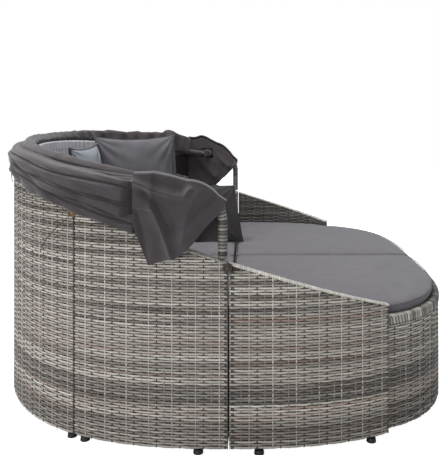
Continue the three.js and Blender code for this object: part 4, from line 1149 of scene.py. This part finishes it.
def roll(name, level, shares, bow=None):
    """Closed roll of folded cloth. From its drooping lip it stands out, then draws in towards its top:
    outwards is the root of the height up to the lip, less a part that grows with the height's power.
    The ends of a roll on a bow dive under the flaps, to leave them room as the bow turns."""
    place = ROLL_ANGLES[:, None]
    low, high = roll_height(level)[:, None], roll_height(level + 1)[:, None]
    even = low + (high - low) * shares
    proud = np.minimum(1, (shares / LIP) ** 0.5) * (1 - 0.5 * shares ** 2.2)
    droop = LIP_DROOP * np.sin(np.pi * np.minimum(shares / (2 * LIP), 1)) ** 2
    height = even - droop * (1 + wrinkles(place, 0.4, 4, 24))
    size = 1 + wrinkles(place, 0.22, 3, 20)
    fold = np.abs(wrinkles(place, ROLL_FOLD, 6, 34, across=shares * 3, count=5)) - FOLD_SUNK
    dent = DENT * np.exp(-((shares - DENT_PLACE - wrinkles(place, 0.16, 2, 9)) / DENT_WIDTH) ** 2)
    out = (ROLL_PROUD - ROLL_TUCK) * size * proud * (1 - dent) + fold * proud
    normal = outward(ROLL_PATH)
    behind = (ROLL_END_X - ROLL_PATH[:, 0])[:, None]
    depth = ROLL_INNER
    if bow:
        out = out * ramp(behind, ROLL_DIVED, ROLL_DIVED + ROLL_DIVE) ** 0.6
        to_bow = depth_to_bow(ROLL_PATH, normal, bow)[:, None]
        depth = ROLL_INNER + ramp(behind, FLANGE_START, FLANGE_FULL) * np.maximum(to_bow - ROLL_INNER, 0)
    off = [np.broadcast_to(part, even.shape)[..., None] for part in (ROLL_TUCK + out, -depth)]
    face, back = (at_height(ROLL_PATH[:, None] + normal[:, None] * part, level)
                  for part, level in zip(off, (height, even)))
    return shell(name, face, back, canopy_cloth)


fold_shares = np.concatenate([LIP * np.linspace(0, 1, 7)[:-1] ** 1.5, np.linspace(LIP, 1, 26)])
for panel, bow, next_bow, level in (("front", "middle", "front", 2), ("rear", "rear", "middle", 1)):
    piece = dress(roll(f"canopy_{panel}_roll", level, fold_shares, bow),
                  f"{bow}_bow", "canopy_cloth", f"canopy_{panel}_panel")
    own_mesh(piece)

back_height = float(roll_height(1).max() - rim_height(outline(WALLS, np.zeros(1))[0, 0]))
low_shares = 0.9 * even_in_blend(16) * SKIRT_STRETCH / back_height
skirt_shares = np.concatenate([low_shares, np.linspace(low_shares[-1], 1, 18)[1:]])
skirt_roll = roll("canopy_back_skirt", 0, skirt_shares)
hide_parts("canopy_skirt")
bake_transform(skirt_roll)

# %% Taut panels between the bows
SLAB = 0.020
PANEL_ROWS = 26
PANEL_THICKNESS = 0.0012
PLACES = even_in_blend(PANEL_ROWS)

# Cloth between two bows. Its rows lie in a thin slab, each its own share of the way from one bow
# to the other, and the middle rows are drawn in by the angle of the opening.
for name, first, second, opening in (("rear", "rear", "middle", 43.0), ("front", "middle", "front", 32.0)):
    bows = np.array([BOWS[first], BOWS[second]])
    mean, apart = bows[:, 2].mean(), (bows[1, 2] - bows[0, 2]) / 2
    share = np.concatenate([[0], smooth(PLACES), [1]])
    depth = np.concatenate([[0], PLACES, [1]]) - 0.5
    open_angle = np.radians(opening) + 2 * apart
    taut = np.cos(open_angle / 2) / np.cos(open_angle * (share - 0.5))
    skins = []
    for skin in (BOW_RADIUS + PANEL_THICKNESS, BOW_RADIUS):
        ends = [bow_reach(TURNS[:, None], reach + skin, half + skin) for reach, half, _ in bows]
        away, across = (start * (1 - share) + end * share for start, end in zip(*ends))
        away = away * taut
        off = np.broadcast_to(depth * SLAB, away.shape).copy()
        for edge, way in ((0, -1), (-1, 1)):
            off[:, edge] = way * np.maximum(SLAB / 2, away[:, edge] * np.sin(apart))
        skins.append(in_plane(away, across, mean, off))
    panel = shell(f"canopy_{name}_taut_panel", *skins, canopy_cloth)
    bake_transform(panel)

# %% [markdown]
# ## Flaps and lining
# Loose cloth hangs over each arm loop, and a pleated lining hangs inside the back wall. Both are
# thin sheets: an outer skin with its folds and an inner skin behind it.

# %% Flaps
FLAP_BACK, FLAP_FRONT = -0.292, -0.006
FLAP_TOP, FLAP_DROP = 0.868, 0.284
FLAP_CLOTH = 0.0024
EDGE_SHARES = np.array([(0, 0.43), (0.16, 0), (0.5, 0.11), (0.64, 0.24), (0.81, 0.45), (1, 0.63)])
CREST_SHARES = np.array([(0, 1), (0.22, 1.01), (0.39, 0.975), (0.52, 0.94), (0.71, 0.89), (0.85, 0.8),
                         (1, 0.7)])
# How much higher the cloth lies over the left loop, where it is bunched
LEFT_CREST = np.array([(0, 0.050), (0.25, 0.058), (0.5, 0.046), (0.75, 0.024), (0.9, 0.008), (1, 0)])
# Folds as lines of (ahead, height), how far they stand out and how wide they are
FOLDS = [
    ([(-0.298, 0.845), (-0.255, 0.827), (-0.209, 0.809), (-0.163, 0.797), (-0.133, 0.797), (-0.118, 0.818)],
     0.019, 0.011),
    ([(-0.245, 0.850), (-0.190, 0.835), (-0.145, 0.824)], -0.008, 0.012),
    ([(-0.258, 0.806), (-0.233, 0.783), (-0.194, 0.738), (-0.172, 0.704)], -0.018, 0.014),
    ([(-0.236, 0.768), (-0.209, 0.708), (-0.185, 0.646), (-0.168, 0.600)], 0.020, 0.013),
    ([(-0.280, 0.745), (-0.262, 0.680), (-0.250, 0.600)], -0.012, 0.014),
    ([(-0.100, 0.800), (-0.125, 0.740), (-0.140, 0.660)], 0.012, 0.018),
    ([(-0.040, 0.790), (-0.085, 0.755), (-0.130, 0.700)], -0.010, 0.012),
]
HEM = np.array([(-0.320, 0.758), (-0.228, 0.752)])
HEM_STEP = 0.011
# Power in the bell that shapes each fold: one is a sharp crease, two a round one
CREASE = 1.35
WAVES, WAVE_DEPTH = 1.6, 0.007
CRUMPLE = 0.0012
# How far a flap stands off the wall at its crest, how much more at its foot, and over the loop
FLAP_OFF, FLAP_FLARE, OVER_CREST = 0.010, 0.006, 0.0075
# Inset below the crest and drop of the cloth where it goes over the loop
OVER_LOOP = np.array([(0.033, -0.004), (0.026, -0.0008), (WALL_THICKNESS / 2, 0), (0.010, -0.0006),
                      (0.002, -0.003)])


def loop_crown(x):
    """Height of the arm loop's outer side above a place along the plan."""
    outer = LOOP_FRONT_BEND + LOOP_RADIUS
    ahead = np.maximum(x - LOOP_FRONT + LOOP_FRONT_BEND, 0)
    return LOOP_TOP - LOOP_FRONT_BEND + np.sqrt(np.maximum(outer ** 2 - ahead ** 2, 0))


def fold_depth(x, z, folds):
    """Sum over the folds of their size times a sharp bell of the distance to their line."""
    point = np.stack(np.broadcast_arrays(x, z), axis=-1)
    total = np.zeros(point.shape[:-1])
    for line, size, width in folds:
        nearest = np.full(point.shape[:-1], np.inf)
        for a, b in zip(np.array(line)[:-1], np.array(line)[1:]):
            share = np.clip(((point - a) @ (b - a)) / ((b - a) @ (b - a)), 0, 1)
            nearest = np.minimum(nearest, np.linalg.norm(point - a - share[..., None] * (b - a), axis=-1))
        total += size * np.exp(-(nearest / width) ** CREASE)
    return total


def along_wall(x, sign, inset, z):
    """Points at insets from the outer face of a side wall, for places ahead and heights."""
    wall = half_width(WALLS, x)
    return np.stack([np.broadcast_to(PLAN_X + x, z.shape), sign * (wall - inset), z], axis=-1)


def flap(side, sign):
    """Cloth from inside the loop, over it and down to its cut edge. Its distance from the wall is the
    sum of a flare, slow waves, small crumples and the drawn folds; it gives back its crest."""
    along = np.linspace(0, 1, 110)[:, None]
    x = FLAP_BACK + (FLAP_FRONT - FLAP_BACK) * along
    height = lambda shares: FLAP_TOP - FLAP_DROP * (1 - np.interp(along, *shares.T))
    bunched = np.interp(along, *LEFT_CREST.T) * (side == "left")
    ruffle = bunched * 0.08 * wrinkles(along, 1.0, 6, 18)
    crest = np.maximum(height(CREST_SHARES), loop_crown(x) + OVER_CREST) + bunched + ruffle
    down = np.linspace(0, 1, 80) ** 0.9
    level = crest + (height(EDGE_SHARES) - crest) * down
    wave = WAVE_DEPTH * (1 + np.sin(2 * np.pi * WAVES * along + 2 * down)) * down
    crumple = wrinkles(along, CRUMPLE, 8, 40, across=down * 2) * np.minimum(down * 5, 1)
    hem = ramp(level - np.interp(x, *HEM.T), 0, 0.004) * ramp(-x, 0.226, 0.238)
    folds = fold_depth(x, level, FOLDS) * np.clip(down * 8, 0, 1)
    folds = np.maximum(folds + HEM_STEP * hem, -WAVE_DEPTH - wave)
    hang = -FLAP_OFF - FLAP_FLARE * down - wave - crumple - folds
    over = len(OVER_LOOP)
    inset = np.concatenate([np.broadcast_to(OVER_LOOP[:, 0], (len(x), over)), hang[:, 1:]], axis=1)
    z = np.concatenate([crest + OVER_LOOP[:, 1], level[:, 1:]], axis=1)
    on_loop = np.arange(z.shape[1]) < over
    outer = along_wall(x, sign, inset, z)
    inner = along_wall(x, sign, inset + FLAP_CLOTH * ~on_loop, z - FLAP_CLOTH * on_loop)
    piece = dress(shell(f"{side}_hanging_flap", outer, inner, canopy_cloth),
                  "sofa_section", "canopy_cloth", f"{side}_flap")
    return crest - 0.008


# %% Inner hang of the flaps
HANG_INSET = 0.041
HANG_SKIN = 0.0016
HANG_WAVE = 0.009
HANG_FEET = {"left": ((-0.292, 0.655), (-0.200, 0.640), (-0.147, 0.638), (-0.077, 0.685), (-0.006, 0.762)),
             "right": ((-0.292, 0.660), (-0.200, 0.650), (-0.100, 0.645), (-0.034, 0.650), (-0.006, 0.720))}
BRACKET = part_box("left_pivot_bracket")
BRACKET_ROOM = 0.006
BOW_ROOM = 0.008
HANG_FOLDS = [([(-0.300, 0.800), (-0.250, 0.790), (-0.205, 0.765), (-0.141, 0.690)], 0.030, 0.016),
              ([(-0.150, 0.850), (-0.110, 0.790), (-0.060, 0.745)], 0.016, 0.014),
              ([(-0.260, 0.760), (-0.220, 0.700), (-0.200, 0.645)], 0.008, 0.012)]


def cut_sheet(name, skins, kept, material):
    """Thin body of two skins whose cells may be left out; a strip closes every open edge of the cells."""
    rows, columns = skins[0].shape[:2]
    count = rows * columns
    cells = grid_quads(rows, columns, wrap=False)[kept.ravel()]
    start, end = cells.ravel(), np.roll(cells, -1, axis=1).ravel()
    open_edge = ~np.isin(end * count + start, start * count + end)
    start, end = start[open_edge], end[open_edge]
    faces = [cells, cells[:, ::-1] + count, np.stack([end, start, start + count, end + count], axis=1)]
    used = np.unique(np.concatenate([face.ravel() for face in faces]))
    points = np.concatenate([skin.reshape(-1, 3) for skin in skins])[used]
    return add_piece(name, points, [np.searchsorted(used, face) for face in faces], material)


def inner_hang(side, sign, crest):
    """The part of a flap that hangs inside its loop, with a hole for the pivot bracket. Its folds grow
    towards the foot, as a sine of the place along, and more so ahead of the bows."""
    x = np.linspace(FLAP_BACK, FLAP_FRONT, len(crest))[:, None]
    down = np.linspace(0, 1, 90)
    level = crest + (np.interp(x, *np.transpose(HANG_FEET[side])) - crest) * down
    free = np.maximum(ramp(x, -0.14, -0.09), ramp(-level, -0.795, -0.765))
    wave = HANG_WAVE * free * (1 + np.sin(26 * x + 8 * level + 1.2)) * down
    folds = free * np.maximum(fold_depth(x, level, HANG_FOLDS), 0)
    crumple = np.abs(wrinkles(x * 3.5, CRUMPLE, 8, 30, across=down * 2))
    inset = HANG_INSET + np.minimum(wave + folds + crumple * np.clip(down * 4, 0, 1), BOW_ROOM + free)
    skins = [along_wall(x, sign, inset + skin, level) for skin in (0.0, HANG_SKIN)]
    middle = (skins[0][:-1, :-1] + skins[0][1:, 1:]) / 2
    low, high = (np.array(corner)[[0, 2]] for corner in BRACKET)
    place = middle[..., [0, 2]]
    kept = np.any((place < low - BRACKET_ROOM) | (place > high + BRACKET_ROOM), axis=-1)
    piece = dress(cut_sheet(f"{side}_flap_lining", skins, kept, canopy_cloth), "sofa_section", "canopy_cloth")


for side, sign in SIDES.items():
    inner_hang(side, sign, flap(side, sign) - 0.006)

# %% Lining
LINING_TOP, LINING_BOTTOM = 0.846, 0.690
LINING_END_X = -0.485
LINING_CLOTH = 0.0015
LINING_GAP = 0.003
PLEATS = 46
PLEAT_DEPTH = 0.007
down = np.linspace(0, 1, 14)
angles = np.linspace(-1, 1, 900)[:, None] * float(angle_at(WALLS, LINING_END_X))
rim = rim_height(outline(WALLS, angles, WALL_THICKNESS)[..., 0])
top, bottom = np.minimum(LINING_TOP, rim - 0.008), np.minimum(LINING_BOTTOM, rim - 0.072)
pleat = PLEAT_DEPTH * (1 + np.sin(PLEATS * angles + 0.5 * np.sin(5 * angles) + down))
inset = WALL_THICKNESS + LINING_GAP + pleat * np.minimum(0.25 + down, 1)
skins = []
for cloth in (0.0, LINING_CLOTH):
    shrink = 1 - (inset + cloth)[..., None] / WALLS[:2]
    flat = (outline(WALLS, angles) - (PLAN_X, 0)) * shrink + (PLAN_X, 0)
    skins.append(at_height(flat, top + (bottom - top) * down))
lining = dress(shell("pleated_lining", *skins, lining_cloth), "sofa_section", "canopy_cloth", "lining")

# %% Gathers under the front bow
GATHER_TURNS = np.linspace(1.22, -1.22, 900)
GATHER_INSET = 0.019
GATHER_DEPTH = 0.008
GATHER_PITCH = 0.040
GATHER_DROP, FOOT_ABOVE_RIM = 0.125, -0.012
reach, half, tilt = BOWS["front"]
path = in_plane(*bow_reach(GATHER_TURNS, reach - GATHER_INSET, half - GATHER_INSET), tilt)
walked = travelled(path)[:, None]
turn = 2 * np.pi * walked / GATHER_PITCH + wrinkles(walked, 1.3, 2, 14)
pleat = GATHER_DEPTH * (1 + np.sin(turn + 0.5 * down)) * (0.35 + 0.65 * down)
foot = np.maximum(rim_height(path[:, 0]) + FOOT_ABOVE_RIM, path[:, 2] - GATHER_DROP)[:, None]
level = path[:, 2:] - 0.004 + (foot - path[:, 2:]) * down
way = -outward(path[:, :2])[:, None]
skins = [at_height(path[:, None, :2] + way * (pleat + cloth)[..., None], level)
         for cloth in (0.0, LINING_CLOTH)]
gathers = dress(shell("canopy_gathered_lining", *skins, lining_cloth), "front_bow", "canopy_cloth")

# %% [markdown]
# ## Light, floor and background
# Large soft lights keep the shadows faint, as in a product photograph. The floor and the
# background are white for the camera only, so they throw no extra light on the daybed.

# %% Light, floor and background
LOOK_AT = Vector((PLAN_X, 0, 0.4))
AMBIENT, FLOOR_GLOW = 0.42, 0.9
for name, place, size, power in (("overhead", (-0.9, -0.2, 3.3), 1.8, 92),
                                 ("front_fill", (-2.6, -6.8, 2.4), 4.0, 165),
                                 ("left_fill", (-6.0, -2.8, 2.6), 4.0, 50)):
    light = bpy.data.lights.new(name, "AREA")
    light.energy, light.size = power, size
    lamp = bpy.data.objects.new(name, light)
    lamp.location = place
    lamp.rotation_euler = (LOOK_AT - Vector(place)).to_track_quat("-Z", "Y").to_euler()
    bpy.context.collection.objects.link(lamp)

scene = bpy.context.scene
world = scene.world = bpy.data.worlds.new("studio")
world.use_nodes = True
tree = world.node_tree
ambient = tree.nodes["Background"]
ambient.inputs["Color"].default_value = linear("#f4f6fa")
ambient.inputs["Strength"].default_value = AMBIENT
white = node(tree, "Background", strength=1.0)
white.inputs["Color"].default_value = (1, 1, 1, 1)
rays = node(tree, "LightPath")
choice = node(tree, "MixShader", {0: rays.outputs["Is Camera Ray"], 1: ambient.outputs[0],
                                  2: white.outputs[0]})
tree.links.new(choice.outputs[0], tree.nodes["World Output"].inputs["Surface"])

floor_white, tree, shader = new_finish("white_floor", Base_Color=(0.8, 0.8, 0.8, 1), Roughness=0.9,
                                       Emission_Color=(1, 1, 1, 1))
rays = node(tree, "LightPath")
glow = node(tree, "Math", {0: rays.outputs["Is Camera Ray"]}, operation="MULTIPLY")
glow.inputs[1].default_value = FLOOR_GLOW
tree.links.new(glow.outputs[0], shader.inputs["Emission Strength"])
corners = np.array([(-9, -9, 0), (9, -9, 0), (9, 9, 0), (-9, 9, 0)], dtype=float)
add_piece("floor", corners, [np.array([[0, 1, 2, 3]])], floor_white, closed=False)
scene.view_settings.view_transform = "Standard"
